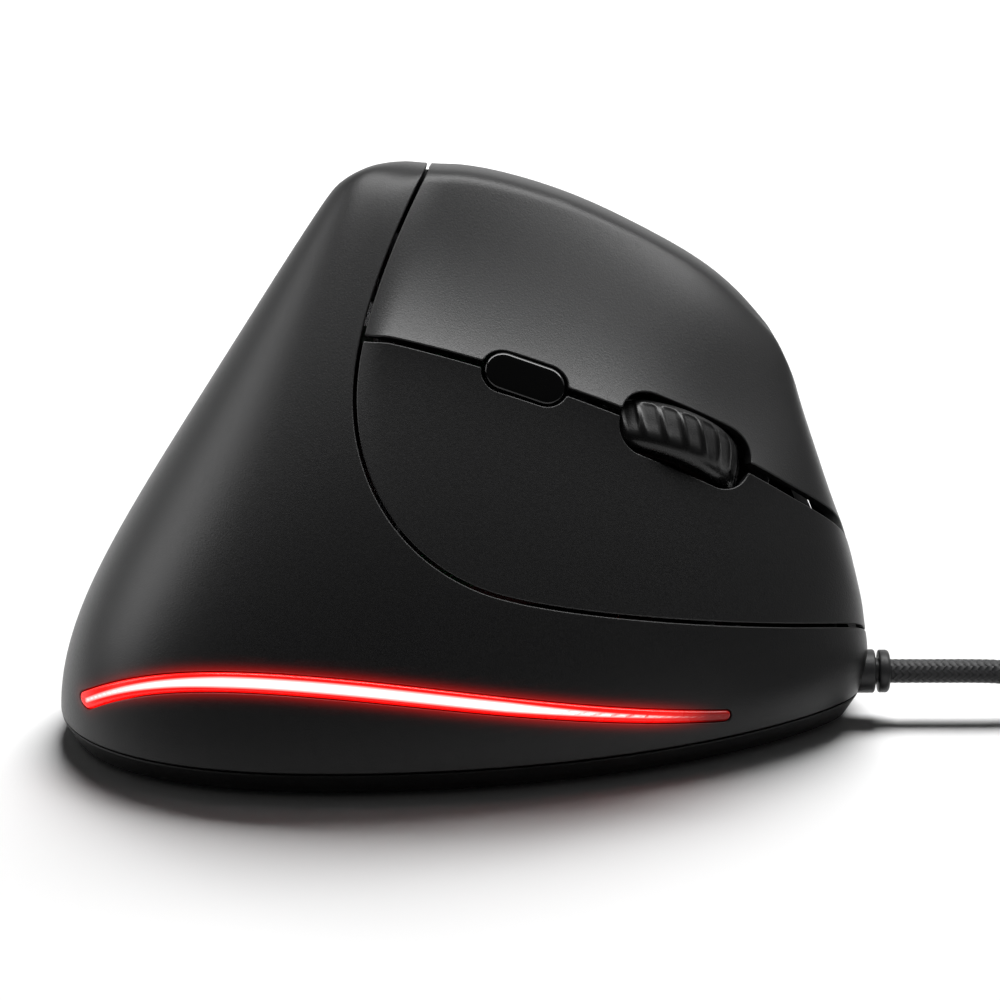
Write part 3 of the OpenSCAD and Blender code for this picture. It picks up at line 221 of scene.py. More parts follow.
def settle_form(points):
    """Fills the ridge's line out a little and rounds its two ends."""
    for at, way, reach, height in SWELLS:
        gap2 = ((points[:, [0, 2]] - at) ** 2).sum(axis=1)
        points = points + (height * np.exp(-gap2 / (2 * reach ** 2)))[:, None] * unit(np.array(way, float))
    for way, limit, soft in ROUNDED_ENDS:
        way = unit(np.array(way, float))
        over = np.maximum(points @ way - limit, 0)
        points = points - (over - soft * (1 - np.exp(-over / soft)))[:, None] * way
    return points


@functools.lru_cache(maxsize=1)
def body_skin():
    """Fine mesh of the whole outer skin, with the ridge's two creases rounded over and eased at the heel."""
    cols, rows, strips = SKIN_COLS, SKIN_ROWS, RIDGE_STRIPS
    u, t = np.meshgrid(np.arange(cols) * 4.0 / cols, np.arange(rows + 1) / rows)
    sides = side_point(u.ravel(), t.ravel())
    half = cols // 2
    s, v = np.meshgrid(np.arange(1, half) / half, np.arange(1, strips) / strips, indexing="ij")
    top = ridge_point(s.ravel(), v.ravel())
    points = np.concatenate([sides, top])
    edge_at = rows * cols

    def top_at(i, j):
        if i == 0:
            return edge_at
        if i == half:
            return edge_at + half
        if j == 0:
            return edge_at + i
        if j == strips:
            return edge_at + cols - i
        return len(sides) + (i - 1) * (strips - 1) + j - 1

    triangles = []
    for j in range(rows):
        for i in range(cols):
            a, b = j * cols + i, j * cols + (i + 1) % cols
            triangles += [(a, b, b + cols), (a, b + cols, a + cols)]
    for i in range(half):
        for j in range(strips):
            a, b, c, d = top_at(i, j), top_at(i + 1, j), top_at(i + 1, j + 1), top_at(i, j + 1)
            triangles += [f for f in ((a, b, c), (a, c, d)) if len(set(f)) == 3]
    triangles = np.array(triangles)
    points = settle_form(points)
    top = points[len(sides):]
    crease = points[edge_at:edge_at + cols]
    gap = np.zeros(len(points))
    column = np.tile(np.arange(cols), rows + 1)
    gap[:len(sides)] = np.linalg.norm(points[:len(sides)] - crease[column], axis=1)
    station = np.repeat(np.arange(1, half), strips - 1)
    near = np.linalg.norm(top - crease[station], axis=1)
    far = np.linalg.norm(top - crease[(cols - station) % cols], axis=1)
    gap[len(sides):] = np.minimum(near, far)
    pull = CREASE_PULL * np.exp(-(gap / CREASE_REACH) ** 2)
    pairs = np.unique(np.sort(face_sides(triangles), axis=1), axis=0)
    ends = np.concatenate([pairs, pairs[:, ::-1]])
    degree = np.bincount(ends[:, 0], minlength=len(points))[:, None]
    heel = smooth(-past_seam(points, 1)[0] / HEEL_RUN) * smooth((points[:, 2] - HEEL_FROM) / HEEL_RISE)
    ease = EASE_PULL * heel * np.exp(-(gap / EASE_REACH) ** 2)
    for pulls, passes in ((pull, CREASE_PASSES), (ease, EASE_PASSES)):
        for _ in range(passes):
            total = np.stack(
                [np.bincount(ends[:, 0], points[ends[:, 1], k], len(points)) for k in range(3)], axis=1)
            points = points + pulls[:, None] * (total / degree - points)
    return points, vertex_normals(points, triangles), triangles


# Distances to the panels' edges, positive inside the panel, each with its gradient

FAR, BATCH = 50.0, 4000
FINGER_SIDE, THUMB_SIDE, NOSE_FROM = -4.0, 8.0, 45.0


def line_distance(line, x, y):
    """Signed distance to a polyline, positive on its left, with its gradient and the share along it."""
    start, step = line[:-1], np.diff(line, axis=0)
    length2 = (step ** 2).sum(axis=1)
    value, slope, share = np.zeros(len(x)), np.zeros((len(x), 2)), np.zeros(len(x))
    for low in range(0, len(x), BATCH):
        cut = slice(low, low + BATCH)
        p = np.stack([x[cut], y[cut]], axis=1)
        rel = p[:, None] - start[None]
        along = np.clip((rel * step[None]).sum(axis=2) / length2, 0, 1)
        away = rel - along[..., None] * step[None]
        gap2 = (away ** 2).sum(axis=2)
        best = gap2.argmin(axis=1)
        row = np.arange(len(p))
        gap = np.sqrt(gap2[row, best])
        cross = step[best, 0] * rel[row, best, 1] - step[best, 1] * rel[row, best, 0]
        sign = np.where(cross < 0, -1.0, 1.0)
        left = unit(np.stack([-step[best, 1], step[best, 0]], axis=1))
        direct = away[row, best] * (sign / np.maximum(gap, 1e-9))[:, None]
        value[cut] = gap * sign
        slope[cut] = np.where((gap < 1e-4)[:, None], left, direct)
        share[cut] = (best + along[row, best]) / len(start)
    return value, slope, share


def box_distance(x, y, half_x, half_y, r):
    """Distance outside a rounded rectangle, with its gradient."""
    dx, dy = np.abs(x) - (half_x - r), np.abs(y) - (half_y - r)
    ox, oy = np.maximum(dx, 0), np.maximum(dy, 0)
    out = np.hypot(ox, oy)
    value = out + np.minimum(np.maximum(dx, dy), 0) - r
    corner = np.stack([ox, oy], axis=1) / np.maximum(out, 1e-9)[:, None]
    flat = np.where((dx > dy)[:, None], [1.0, 0.0], [0.0, 1.0])
    slope = np.where((out > 1e-6)[:, None], corner, flat)
    return value, slope * np.stack([np.sign(x), np.sign(y)], axis=1)


@functools.lru_cache(maxsize=1)
def seam_line():
    t = np.linspace(0, 1, 41)
    curve = np.concatenate([bezier(c, t)[:-1] for c in (SEAM_BACK, SEAM_TURN, SEAM_LOW)])
    first = unit(np.diff(np.array(SEAM_BACK[:2]), axis=0))[0]
    last = unit(np.diff(np.array(SEAM_LOW[-2:]), axis=0))[0]
    end = np.array(SEAM_LOW[-1], float)
    return np.concatenate([[curve[0] - SEAM_RUN_OUT * first], curve, [end, end + SEAM_RUN_OUT * last]])


@functools.lru_cache(maxsize=1)
def strip_line():
    return bezier(STRIP_CURVE, np.linspace(0, 1, 121))


def strip_half(share):
    c = np.clip(share, 0, 1)
    swell = STRIP_W - (STRIP_START_W + STRIP_END_W) / 2
    return (mix(STRIP_START_W, STRIP_END_W, c) + swell * np.sin(np.pi * c ** 1.15)) / 2


def past_seam(p, inset):
    value, slope, _ = line_distance(seam_line(), p @ FACE_A, p @ FACE_B)
    return value - inset, slope[:, :1] * FACE_A + slope[:, 1:] * FACE_B


def above(p, height):
    return p[:, 2] - height, np.broadcast_to([0.0, 0.0, 1.0], p.shape)


def finger_opening(p, inset):
    a, ga = past_seam(p, inset)
    b, gb = above(p, NOSE_SEAM_H + inset)
    return np.minimum(a, b), np.where((a < b)[:, None], ga, gb)


def past_parting(p, shift):
    return (p - PARTING_AT) @ PARTING_OUT - shift, np.broadcast_to(PARTING_OUT, p.shape)


def split_spots(p):
    a, b = p @ FACE_A, p @ FACE_B - SPLIT_HEIGHT
    return a * math.cos(SLOPE) - b * math.sin(SLOPE), a * math.sin(SLOPE) + b * math.cos(SLOPE)


def past_split(p, side):
    along, across = split_spots(p)
    c, s = math.cos(SPLIT_TAPER / 2), math.sin(SPLIT_TAPER / 2)
    way = side * c * SPLIT_Q - s * SPLIT_P
    return side * c * across - s * along - SPLIT_GAP / 2, np.broadcast_to(way, p.shape)


def off_slot(p, at, length, width, r):
    x, y = split_spots(p)
    value, slope = box_distance(x - at, y, length / 2, width / 2, r)
    return value, slope[:, :1] * SPLIT_P + slope[:, 1:] * SPLIT_Q


def off_wheel_slot(p):
    return off_slot(p, WHEEL_AT, SLOT_L, SLOT_W, SLOT_W * .45)


def off_speed_slot(p):
    width = SPEED_W + 2 * SPEED_GAP
    return off_slot(p, SPEED_AT, SPEED_L + 2 * SPEED_GAP, width, width / 2)


def off_strip(p, grow):
    value, slope, share = line_distance(strip_line(), p[:, 0], p[:, 2])
    sign = np.where(value < 0, -1.0, 1.0)
    gap = np.abs(value) - strip_half(share) - grow
    grad = np.stack([slope[:, 0] * sign, np.zeros(len(p)), slope[:, 1] * sign], axis=1)
    return np.where(p[:, 1] > FINGER_SIDE, FAR, gap), grad


def off_key(p, mid, grow):
    value, slope = box_distance(
        p[:, 0] - mid, p[:, 2] - KEY_Z, KEY_L / 2 + grow, KEY_H / 2 + grow, KEY_H / 3 + grow)
    grad = np.stack([slope[:, 0], np.zeros(len(p)), slope[:, 1]], axis=1)
    return np.where(p[:, 1] < THUMB_SIDE, FAR, value), grad


def off_gland(p):
    rel = p[:, 1:] - GLAND[1:]
    gap = np.linalg.norm(rel, axis=1)
    grad = np.concatenate([np.zeros((len(p), 1)), rel / np.maximum(gap, 1e-9)[:, None]], axis=1)
    return np.where(p[:, 0] < NOSE_FROM, FAR, gap - GLAND_R), grad


def outside(pair):
    return -pair[0], -pair[1]


def palm_edges(p):
    return [outside(finger_opening(p, 0)), outside(past_parting(p, -PARTING_GAP / 2)),
            off_strip(p, 0), above(p, RIM_H), off_gland(p)]


def thumb_edges(p):
    return [past_parting(p, PARTING_GAP / 2), above(p, RIM_H)] + [off_key(p, m, KEY_GAP) for m in KEY_MIDS]


def button_edges(p, side):
    return [past_seam(p, SEAM_GAP), above(p, NOSE_SEAM_H + SEAM_GAP), past_split(p, side),
            outside(past_parting(p, -RIDGE_GAP)), off_wheel_slot(p), off_speed_slot(p)]


SPLIT_RISE, SPLIT_RUN, SPLIT_FADE = 1.3, 7.0, 4.0
NOSE_DROP, NOSE_DROP_FROM, NOSE_DROP_RUN = .6, 30, 12
DISH_DEPTH, DISH_FULL, DISH_LEAST, DISH_FROM, DISH_RUN = .6, 26.0, 4.0, 8, 20


@functools.lru_cache(maxsize=1)
def crease_line():
    """The ridge's crease on the finger side, along and across the split, in order along it."""
    u = np.linspace(.3, 2, 120)
    along, across = split_spots(side_point(u, np.ones_like(u)))
    order = np.argsort(along)
    return along[order], across[order]


def split_rise(p, side):
    """Low crest along the split and a shallow finger dish above it, with their gradient."""
    gap, away = past_split(p, side)
    along, across = split_spots(p)
    fade = smooth(past_seam(p, SEAM_GAP)[0] / SPLIT_FADE)
    drop = 1 - NOSE_DROP * smooth((along - NOSE_DROP_FROM) / NOSE_DROP_RUN)
    crest = SPLIT_RISE * fade * drop * np.exp(-np.maximum(gap, 0) / SPLIT_RUN)
    rise, slope = crest, -(crest / SPLIT_RUN)[:, None] * away
    if side > 0:
        top = np.maximum(np.interp(along, *crease_line()), DISH_LEAST)
        share = np.clip(across / top, 0, 1)
        depth = DISH_DEPTH * fade * np.minimum(top / DISH_FULL, 1)
        depth = depth * (1 - smooth((along - DISH_FROM) / DISH_RUN))
        steep = np.where((share > 0) & (share < 1), depth * np.pi / top * np.cos(np.pi * share), 0)
        rise, slope = rise - depth * np.sin(np.pi * share), slope - steep[:, None] * SPLIT_Q
    return rise, slope


def nearest_edge(points, normals, edges):
    """Distance along the skin to the panel's nearest edge, and the way out of the panel."""
    best, out = np.full(len(points), 2 * FAR), np.zeros_like(points)
    for value, grad in edges(points):
        level = grad - (grad * normals).sum(axis=1, keepdims=True) * normals
        size = np.linalg.norm(level, axis=1)
        gap = value / np.maximum(size, .25)
        pick = gap < best
        best = np.where(pick, gap, best)
        out = np.where(pick[:, None], -level / np.maximum(size, 1e-6)[:, None], out)
    return best, out


def side_index(triangles):
    """The triangles' sides, each once, and the numbers of each triangle's three."""
    sides, index = np.unique(np.sort(face_sides(triangles), axis=1), axis=0, return_inverse=True)
    return sides, index.reshape(3, -1).T


def split_faces(triangles, fresh):
    """Splits the triangles at the fresh points on their sides, numbered below 0 where a side has none."""
    count = (fresh >= 0).sum(axis=1)
    made = [triangles[count == 0]]
    for turn in range(3):
        t, e = np.roll(triangles, -turn, axis=1), np.roll(fresh, -turn, axis=1)
        one = (count == 1) & (e[:, 0] >= 0)
        a, b, c, ab = t[one, 0], t[one, 1], t[one, 2], e[one, 0]
        made += [np.stack([a, ab, c], 1), np.stack([ab, b, c], 1)]
        two = (count == 2) & (e[:, 2] < 0)
        a, b, c, ab, bc = t[two, 0], t[two, 1], t[two, 2], e[two, 0], e[two, 1]
        made += [np.stack([ab, b, bc], 1), np.stack([a, ab, bc], 1), np.stack([a, bc, c], 1)]
    three = count == 3
    (a, b, c), (ab, bc, ca) = triangles[three].T, fresh[three].T
    made += [np.stack(f, 1) for f in ((a, ab, ca), (ab, b, bc), (ca, bc, c), (ab, bc, ca))]
    return np.concatenate(made)


def refine(points, normals, gap, triangles, edges, out, band):
    """Halves the triangles' sides near the panel's edges."""
    sides, index = side_index(triangles)
    marked = np.abs(gap[sides]).min(axis=1) < band
    fresh = np.full(len(sides), -1)
    fresh[marked] = len(points) + np.arange(marked.sum())
    ends = sides[marked]
    mid = points[ends].mean(axis=1)
    mid_n = unit(normals[ends].mean(axis=1))
    mid_gap, mid_out = nearest_edge(mid, mid_n, edges)
    points, normals = np.concatenate([points, mid]), np.concatenate([normals, mid_n])
    gap, out = np.concatenate([gap, mid_gap]), np.concatenate([out, mid_out])
    return points, normals, gap, split_faces(triangles, fresh[index]), out


SNAP = 0.004


def cut_along(points, normals, gap, triangles, out, level):
    """Splits the triangles along the line at the given distance from the panel's edge."""
    near = np.abs(gap - level) < SNAP
    points = points - out * np.where(near, level - gap, 0.0)[:, None]
    gap = np.where(near, level, gap)
    rel = gap - level
    sides, index = side_index(triangles)
    crossing = rel[sides[:, 0]] * rel[sides[:, 1]] < 0
    fresh = np.full(len(sides), -1)
    fresh[crossing] = len(points) + np.arange(crossing.sum())
    a, b = sides[crossing].T
    share = (rel[a] / (rel[a] - rel[b]))[:, None]
    points = np.concatenate([points, mix(points[a], points[b], share)])
    normals = np.concatenate([normals, unit(mix(normals[a], normals[b], share))])
    out = np.concatenate([out, unit(mix(out[a], out[b], share))])
    gap = np.concatenate([gap, np.full(len(a), level)])
    return points, normals, gap, split_faces(triangles, fresh[index]), out


def thin_out(points, triangles, *arrays):
    """Drops the points that no triangle uses."""
    used = np.unique(triangles)
    place = np.full(len(points), -1)
    place[used] = np.arange(len(used))
    return [points[used], place[triangles]] + [a[used] for a in arrays]


EDGE_ANGLES = (0, 25, 48, 68, 90)
PANEL_MARGIN, FINE_BANDS = 2, (1.3, .7)
DRAFT, DRAFT_REACH = .36, .4


def skin_panel(edges, wall, radius, lift=0.0, relief=None):
    """Closed, rounded panel of the body's skin: points, face groups and their corner normals.

    Its inner wall is drafted, so that a pressed button stays clear of its neighbours.
    """
    points, normals, triangles = body_skin()
    gap, out = nearest_edge(points, normals, edges)
    triangles = triangles[(gap[triangles] > -PANEL_MARGIN).any(axis=1)]
    points, triangles, normals, gap, out = thin_out(points, triangles, normals, gap, out)
    for band in FINE_BANDS:
        points, normals, gap, triangles, out = refine(points, normals, gap, triangles, edges, out, band)
    for angle in reversed(EDGE_ANGLES):
        level = radius * (1 - math.sin(math.radians(angle)))
        points, normals, gap, triangles, out = cut_along(points, normals, gap, triangles, out, level)
    triangles = triangles[(gap[triangles] >= -1e-6).all(axis=1)]
    points, triangles, normals, gap, out = thin_out(points, triangles, normals, gap, out)
    lean = np.clip((radius - gap) / radius, 0, 1)
    drop = radius * (1 - np.sqrt(1 - lean ** 2))
    rise, slope = relief(points) if relief else (0.0, np.zeros_like(points))
    outer = points + normals * (lift + rise - drop)[:, None]
    inner = points - normals * wall - out * (DRAFT * np.exp(-gap / DRAFT_REACH))[:, None]
    facing = unit(normals - slope + (slope * normals).sum(axis=1, keepdims=True) * normals)
    shade = unit(facing * np.sqrt(1 - lean ** 2)[:, None] + out * lean[:, None])
    count = len(points)
    pairs = face_sides(triangles)
    key = pairs[:, 0] * count + pairs[:, 1]
    back = pairs[:, 1] * count + pairs[:, 0]
    border = pairs[~np.isin(key, back)]
    a, b = border.T
    walls = np.stack([b, a, a + count, b + count], axis=1)
    side = unit(out + 1e-9)
    wall_shade = np.stack([side[b], side[a], side[a], side[b]], axis=1)
    under = triangles[:, ::-1] + count
    groups = [triangles, walls, under]
    shades = [shade[triangles], wall_shade, -normals[triangles[:, ::-1]]]
    return np.concatenate([outer, inner]), groups, shades


# Making objects


def add_values(mesh, label, values):
    """Stores one number for each point of a mesh."""
    mesh.attributes.new(label, "FLOAT", "POINT").data.foreach_set("value", values.astype(np.float32))


def make_object(name, points, groups, material, shades=None):
    """Mesh object from points in millimetres and groups of faces with equal numbers of corners."""
    corners = np.concatenate([np.asarray(g).ravel() for g in groups]).astype(np.int32)
    sizes = np.concatenate([np.full(len(g), np.asarray(g).shape[1]) for g in groups])
    starts = np.concatenate([[0], np.cumsum(sizes)[:-1]]).astype(np.int32)
    mesh = bpy.data.meshes.new(name)
    mesh.vertices.add(len(points))
    mesh.vertices.foreach_set("co", (np.asarray(points) * MM).astype(np.float32).ravel())
    mesh.loops.add(len(corners))
    mesh.loops.foreach_set("vertex_index", corners)
    mesh.polygons.add(len(sizes))
    mesh.polygons.foreach_set("loop_start", starts)
    mesh.update(calc_edges=True)
    if mesh.validate(verbose=False):
        raise RuntimeError(f"{name} has broken faces")
    mesh.polygons.foreach_set("use_smooth", np.ones(len(sizes), bool))
    if shades is not None:
        loose = np.concatenate([np.asarray(s).reshape(-1, 3) for s in shades])
        mesh.normals_split_custom_set(unit(loose).tolist())
    mesh.materials.append(material)
    obj = bpy.data.objects.new(name, mesh)
    bpy.context.scene.collection.objects.link(obj)
    return obj


def settle(obj, body, slot, *nodes):
    """Gives a piece its body and hides the nodes it stands for; the slot is not used."""
    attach(obj, body)
    if nodes:
        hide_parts(*nodes)
    return obj


def crease_by_angle(obj, degrees):
    """Smooth faces with hard edges where they meet at more than the given angle."""
    mesh = obj.data
    mesh.shade_smooth()
    mesh.set_sharp_from_angle(angle=math.radians(degrees))


def grid_faces(rows, cols, wrap):
    """Quads of a grid of points, with the columns closed into a ring where wrap is set."""
    i, j = np.meshgrid(np.arange(rows - 1), np.arange(cols if wrap else cols - 1), indexing="ij")
    k = (j + 1) % cols
    return np.stack([i * cols + j, i * cols + k, (i + 1) * cols + k, (i + 1) * cols + j], -1).reshape(-1, 4)


def cap_faces(rows, cols):
    """Fans over both ends of a ringed piece, to the two points that follow its rings."""
    j = np.arange(cols)
    k = (j + 1) % cols
    n, last = rows * cols, (rows - 1) * cols
    return [np.stack([np.full(cols, n), k, j], 1), np.stack([np.full(cols, n + 1), last + j, last + k], 1)]


def turned_piece(name, profile, at, sides, material):
    """Piece turned about a line along +X: profile holds pairs of x and radius, from end to end."""
    angle = np.arange(sides) * 2 * np.pi / sides
    rings = [np.stack([np.full(sides, x), r * np.cos(angle), r * np.sin(angle)], 1) for x, r in profile]
    points = np.concatenate(rings + [[[profile[0][0], 0, 0]], [[profile[-1][0], 0, 0]]]) + at
    faces = grid_faces(len(profile), sides, True)
    obj = make_object(name, points, [faces] + cap_faces(len(profile), sides), material)
    crease_by_angle(obj, 40)
    return obj


def rounded_outline(half_x, half_y, r, steps):
    """Rounded rectangle, with the given number of points on each corner."""
    points = []
    for k, (sx, sy) in enumerate(((1, 1), (-1, 1), (-1, -1), (1, -1))):
        for a in np.linspace(0, np.pi / 2, steps) + k * np.pi / 2:
            points.append((sx * (half_x - r) + r * np.cos(a), sy * (half_y - r) + r * np.sin(a)))
    return np.array(points)


# Materials


class Nodes:
    """Small helper that adds shader nodes and links them."""

    def __init__(self, name):
        self.material = bpy.data.materials.new(name)
        self.material.use_nodes = True
        self.tree = self.material.node_tree
        self.shader = self.tree.nodes["Principled BSDF"]

    def add(self, kind, **settings):
        node = self.tree.nodes.new(kind)
        for key, value in settings.items():
            setattr(node, key, value)
        return node

    def feed(self, socket, value):
        if isinstance(value, bpy.types.NodeSocket):
            self.tree.links.new(value, socket)
        else:
            socket.default_value = value

    def math(self, operation, a, b=0.0, c=0.0):
        node = self.add("ShaderNodeMath", operation=operation)
        for socket, value in zip(node.inputs, (a, b, c)):
            self.feed(socket, value)
        return node.outputs[0]

    def place(self):
        return self.add("ShaderNodeTexCoord").outputs["Object"]

    def noise(self, scale, detail=2.0, rough=.5, where=None):
        node = self.add("ShaderNodeTexNoise")
        self.feed(node.inputs["Vector"], where or self.place())
        node.inputs["Scale"].default_value = scale
        node.inputs["Detail"].default_value = detail
        node.inputs["Roughness"].default_value = rough
        return node.outputs["Fac"]

    def spread(self, value, low, high, start=0.0, end=1.0):
        node = self.add("ShaderNodeMapRange")
        for key, number in (("From Min", start), ("From Max", end), ("To Min", low), ("To Max", high)):
            node.inputs[key].default_value = number
        self.feed(node.inputs["Value"], value)
        return node.outputs["Result"]

    def blend(self, share, a, b):
        node = self.add("ShaderNodeMix", data_type="RGBA")
        self.feed(node.inputs[0], share)
        self.feed(node.inputs[6], a)
        self.feed(node.inputs[7], b)
        return node.outputs[2]

    def bump(self, height, distance, sunk=False):
        node = self.add("ShaderNodeBump", invert=sunk)
        node.inputs["Strength"].default_value = 1.0
        node.inputs["Distance"].default_value = distance
        self.feed(node.inputs["Height"], height)
        return node.outputs["Normal"]

    def set(self, **values):
        for key, value in values.items():
            self.feed(self.shader.inputs[key.replace("_", " ")], value)
        return self.material

    def attribute(self, name):
        return self.add("ShaderNodeAttribute", attribute_name=name).outputs["Fac"]


def tone(color, factor):
    return (color[0] * factor, color[1] * factor, color[2] * factor, 1.0)


def moulded(name, color, rough, grain=4200.0, depth=0.00002, swing=.025, specular=.5, halo=0.0):
    """Moulded plastic: fine grain, cloudy gloss and colour, and a red glow painted as emission beside the
    strip, where the strip's light would fall on the shell.
    """
    n = Nodes(name)
    cloud = n.noise(55.0, 3.0)
    base = n.blend(cloud, tone(color, .95), tone(color, 1.05))
    gloss = n.spread(n.noise(2500.0, 2.0), rough - swing, rough + swing, .3, .7)
    # Painted glow: red emission on the shell beside the strip stands in for the strip's light falling on it
    if halo:
        n.set(Emission_Color=(1, .004, .002, 1),
              Emission_Strength=n.math("MULTIPLY", n.attribute("halo"), halo))
    return n.set(Base_Color=base, Roughness=gloss, Specular_IOR_Level=specular,
                 Normal=n.bump(n.noise(grain, 2.0, .6), depth))


def satin_steel():
    """Steel brushed along X."""
    color, rough = (.62, .62, .64), .28
    n = Nodes("satin_steel")
    streak = n.add("ShaderNodeMapping")
    n.feed(streak.inputs["Vector"], n.place())
    streak.inputs["Scale"].default_value = (1.0, 14.0, 14.0)
    lines = n.noise(900.0, 3.0, .6, streak.outputs["Vector"])
    base = n.blend(n.noise(120.0), tone(color, .9), tone(color, 1.05))
    return n.set(Base_Color=base, Metallic=1.0, Roughness=n.spread(lines, rough - .08, rough + .1, .3, .7),
                 Normal=n.bump(lines, 0.000008))


def tread_rubber():
    """Glossy rim and ridges with matte, grainy grip pads; pad is 1 on a pad's floor."""
    n = Nodes("tread_rubber")
    pad = n.attribute("pad")
    grain = n.noise(5200.0, 2.0, .6)
    rough = n.math("ADD", n.math("MULTIPLY", pad, .32), n.spread(grain, .26, .32, .3, .7))
    base = n.blend(pad, (.0025, .0025, .0026, 1), (.005, .005, .0052, 1))
    return n.set(Base_Color=base, Roughness=rough, Specular_IOR_Level=.4,
                 Normal=n.bump(n.math("MULTIPLY", grain, pad), 0.00005))


def braided_sleeve():
    """Two sets of threads crossing round the cable, painted darker in the dips between threads as shade; U
    runs round it and V along it, in threads.
    """
    n = Nodes("braided_sleeve")
    uv = n.add("ShaderNodeUVMap", uv_map="UVMap").outputs["UV"]
    parts = n.add("ShaderNodeSeparateXYZ")
    n.feed(parts.inputs[0], uv)
    u, v = parts.outputs[0], parts.outputs[1]
    right = n.math("FRACT", n.math("ADD", u, v))
    left = n.math("FRACT", n.math("SUBTRACT", u, v))

    def thread(x):
        return n.math("SINE", n.math("MULTIPLY", x, math.pi))

    over = n.math("GREATER_THAN", n.math("SINE", n.math("MULTIPLY", u, 2 * math.pi)), 0.0)
    crown = n.add("ShaderNodeMix", data_type="FLOAT")
    n.feed(crown.inputs[0], over)
    n.feed(crown.inputs[2], thread(left))
    n.feed(crown.inputs[3], thread(right))
    height = crown.outputs[0]
    fuzz = n.noise(9000.0, 2.0)
    # Painted shade: the braid is darker where its threads dip and lighter on their crowns, following the
    # bump's height
    base = n.blend(height, (.004, .004, .0045, 1), (.028, .028, .03, 1))
    tall = n.math("ADD", height, n.math("MULTIPLY", fuzz, .25))
    return n.set(Base_Color=base, Roughness=n.spread(fuzz, .42, .6, .3, .7), Sheen_Weight=.15,
                 Normal=n.bump(tall, 0.00011, sunk=True))


def strap_weave():
    """Woven strap: two sets of threads at right angles, painted darker where they dip as shade."""
    n = Nodes("strap_weave")
    where = n.place()
    waves = []
    for axis in ("X", "Y"):
        wave = n.add("ShaderNodeTexWave", bands_direction=axis)
        n.feed(wave.inputs["Vector"], where)
        wave.inputs["Scale"].default_value = 480.0
        waves.append(wave.outputs["Fac"])
    weave = n.math("MULTIPLY", waves[0], waves[1])
    # Painted shade: the strap is darker where the threads dip and lighter where they cross on top, following
    # the bump's height
    base = n.blend(weave, (.012, .012, .013, 1), (.035, .035, .037, 1))
    return n.set(Base_Color=base, Roughness=n.spread(weave, .75, .9), Sheen_Weight=.3,
                 Normal=n.bump(weave, 0.00012))


def circuit_board():
    """Green lacquer over raised tracks."""
    n = Nodes("board_green")
    cells = n.add("ShaderNodeTexVoronoi", feature="DISTANCE_TO_EDGE")
    n.feed(cells.inputs["Vector"], n.place())
    cells.inputs["Scale"].default_value = 260.0
    track = n.spread(cells.outputs["Distance"], 1.0, 0.0, .03, .06)
    base = n.blend(track, (.012, .085, .035, 1), (.03, .15, .07, 1))
    return n.set(Base_Color=base, Roughness=n.spread(track, .3, .38), Normal=n.bump(track, 0.00003))


def clear_plastic():
    """Clear plastic with a light haze."""
    n = Nodes("clear_plastic")
    haze = n.noise(300.0)
    base = n.blend(haze, (.86, .9, .93, 1), (.93, .95, .97, 1))
    return n.set(Base_Color=base, Roughness=n.spread(haze, .04, .1), Transmission_Weight=.9, IOR=1.49)


def lit_strip():
    """Red light pipe: a white-hot core that fades to red at the edges and towards both ends."""
    n = Nodes("lit_strip")
    across, along = n.attribute("across"), n.attribute("along")
    rise = n.spread(along, .35, 1.0, 0.0, .3)
    fall = n.spread(along, 1.0, 0.0, .72, .97)
    ends = n.math("MULTIPLY", rise, fall)
    core = n.math("SUBTRACT", n.math("MULTIPLY", ends, .46), across)
    flicker = n.spread(n.noise(160.0, 2.0), .94, 1.0, .3, .7)
    heat = n.math("MULTIPLY", n.spread(core, 0.0, 1.0, -.12, .2), flicker)
    color = n.blend(heat, (1.0, .003, .002, 1), (1.0, .93, .9, 1))
    tail = n.spread(along, 1.0, .06, .91, .98)
    level = n.math("MULTIPLY", tail, n.spread(heat, 1.05, 1.6))
    return n.set(Base_Color=(.35, .01, .008, 1), Roughness=n.spread(flicker, .2, .3, .94, 1.0),
                 Emission_Color=color, Emission_Strength=level)


def moulded_plastics():
    """Colour, roughness and further settings of each moulded finish."""
    colors = bpy.context.scene.mouse_finish
    shell, button = tuple(colors.shell_color), tuple(colors.button_color)
    return {
        # the shell carries a red glow painted as emission beside the strip
        "soft_touch_shell": (shell, .39, {"specular": .4, "halo": .28}),
        "soft_touch_button": (button, .4, {"specular": .48}),
        "textured_base": (tone(shell, .7)[:3], .62, {"grain": 2600.0, "depth": .00004}),
        "polished_black": ((.0012, .0012, .0013), .09, {"grain": 1500.0, "depth": .000001, "swing": .02}),
        "switch_black": ((.02, .02, .022), .35, {}),
        "frame_grey": ((.06, .06, .065), .5, {}),
        "cable_rubber": ((.014, .014, .015), .46, {"grain": 3000.0}),
        "glide_pad": ((.05, .05, .053), .3, {"grain": 1800.0, "depth": .00001}),
        "ivory_plastic": ((.75, .74, .7), .42, {}),
    }


OTHER_FINISHES = {
    "tread_rubber": tread_rubber, "braided_sleeve": braided_sleeve, "satin_steel": satin_steel,
    "board_green": circuit_board, "lit_strip": lit_strip, "clear_plastic": clear_plastic,
    "strap_weave": strap_weave,
}


@functools.lru_cache(maxsize=None)
def finish(name):
    """One of this mouse's finishes, made once."""
    if name in OTHER_FINISHES:
        return OTHER_FINISHES[name]()
    color, rough, settings = moulded_plastics()[name]
    return moulded(name, color, rough, **settings)


# Pieces


def make_panel(name, body, slot, node, edges, wall, material, lift=0.0, radius=None, relief=None):
    """A panel of the body's skin as a piece, and its points."""
    edge = bpy.context.scene.mouse_sizes.edge_radius / MM if radius is None else radius
    points, groups, shades = skin_panel(edges, wall, edge, lift, relief)
    obj = make_object(name, points, groups, material, shades)
    return settle(obj, body, slot, node), points


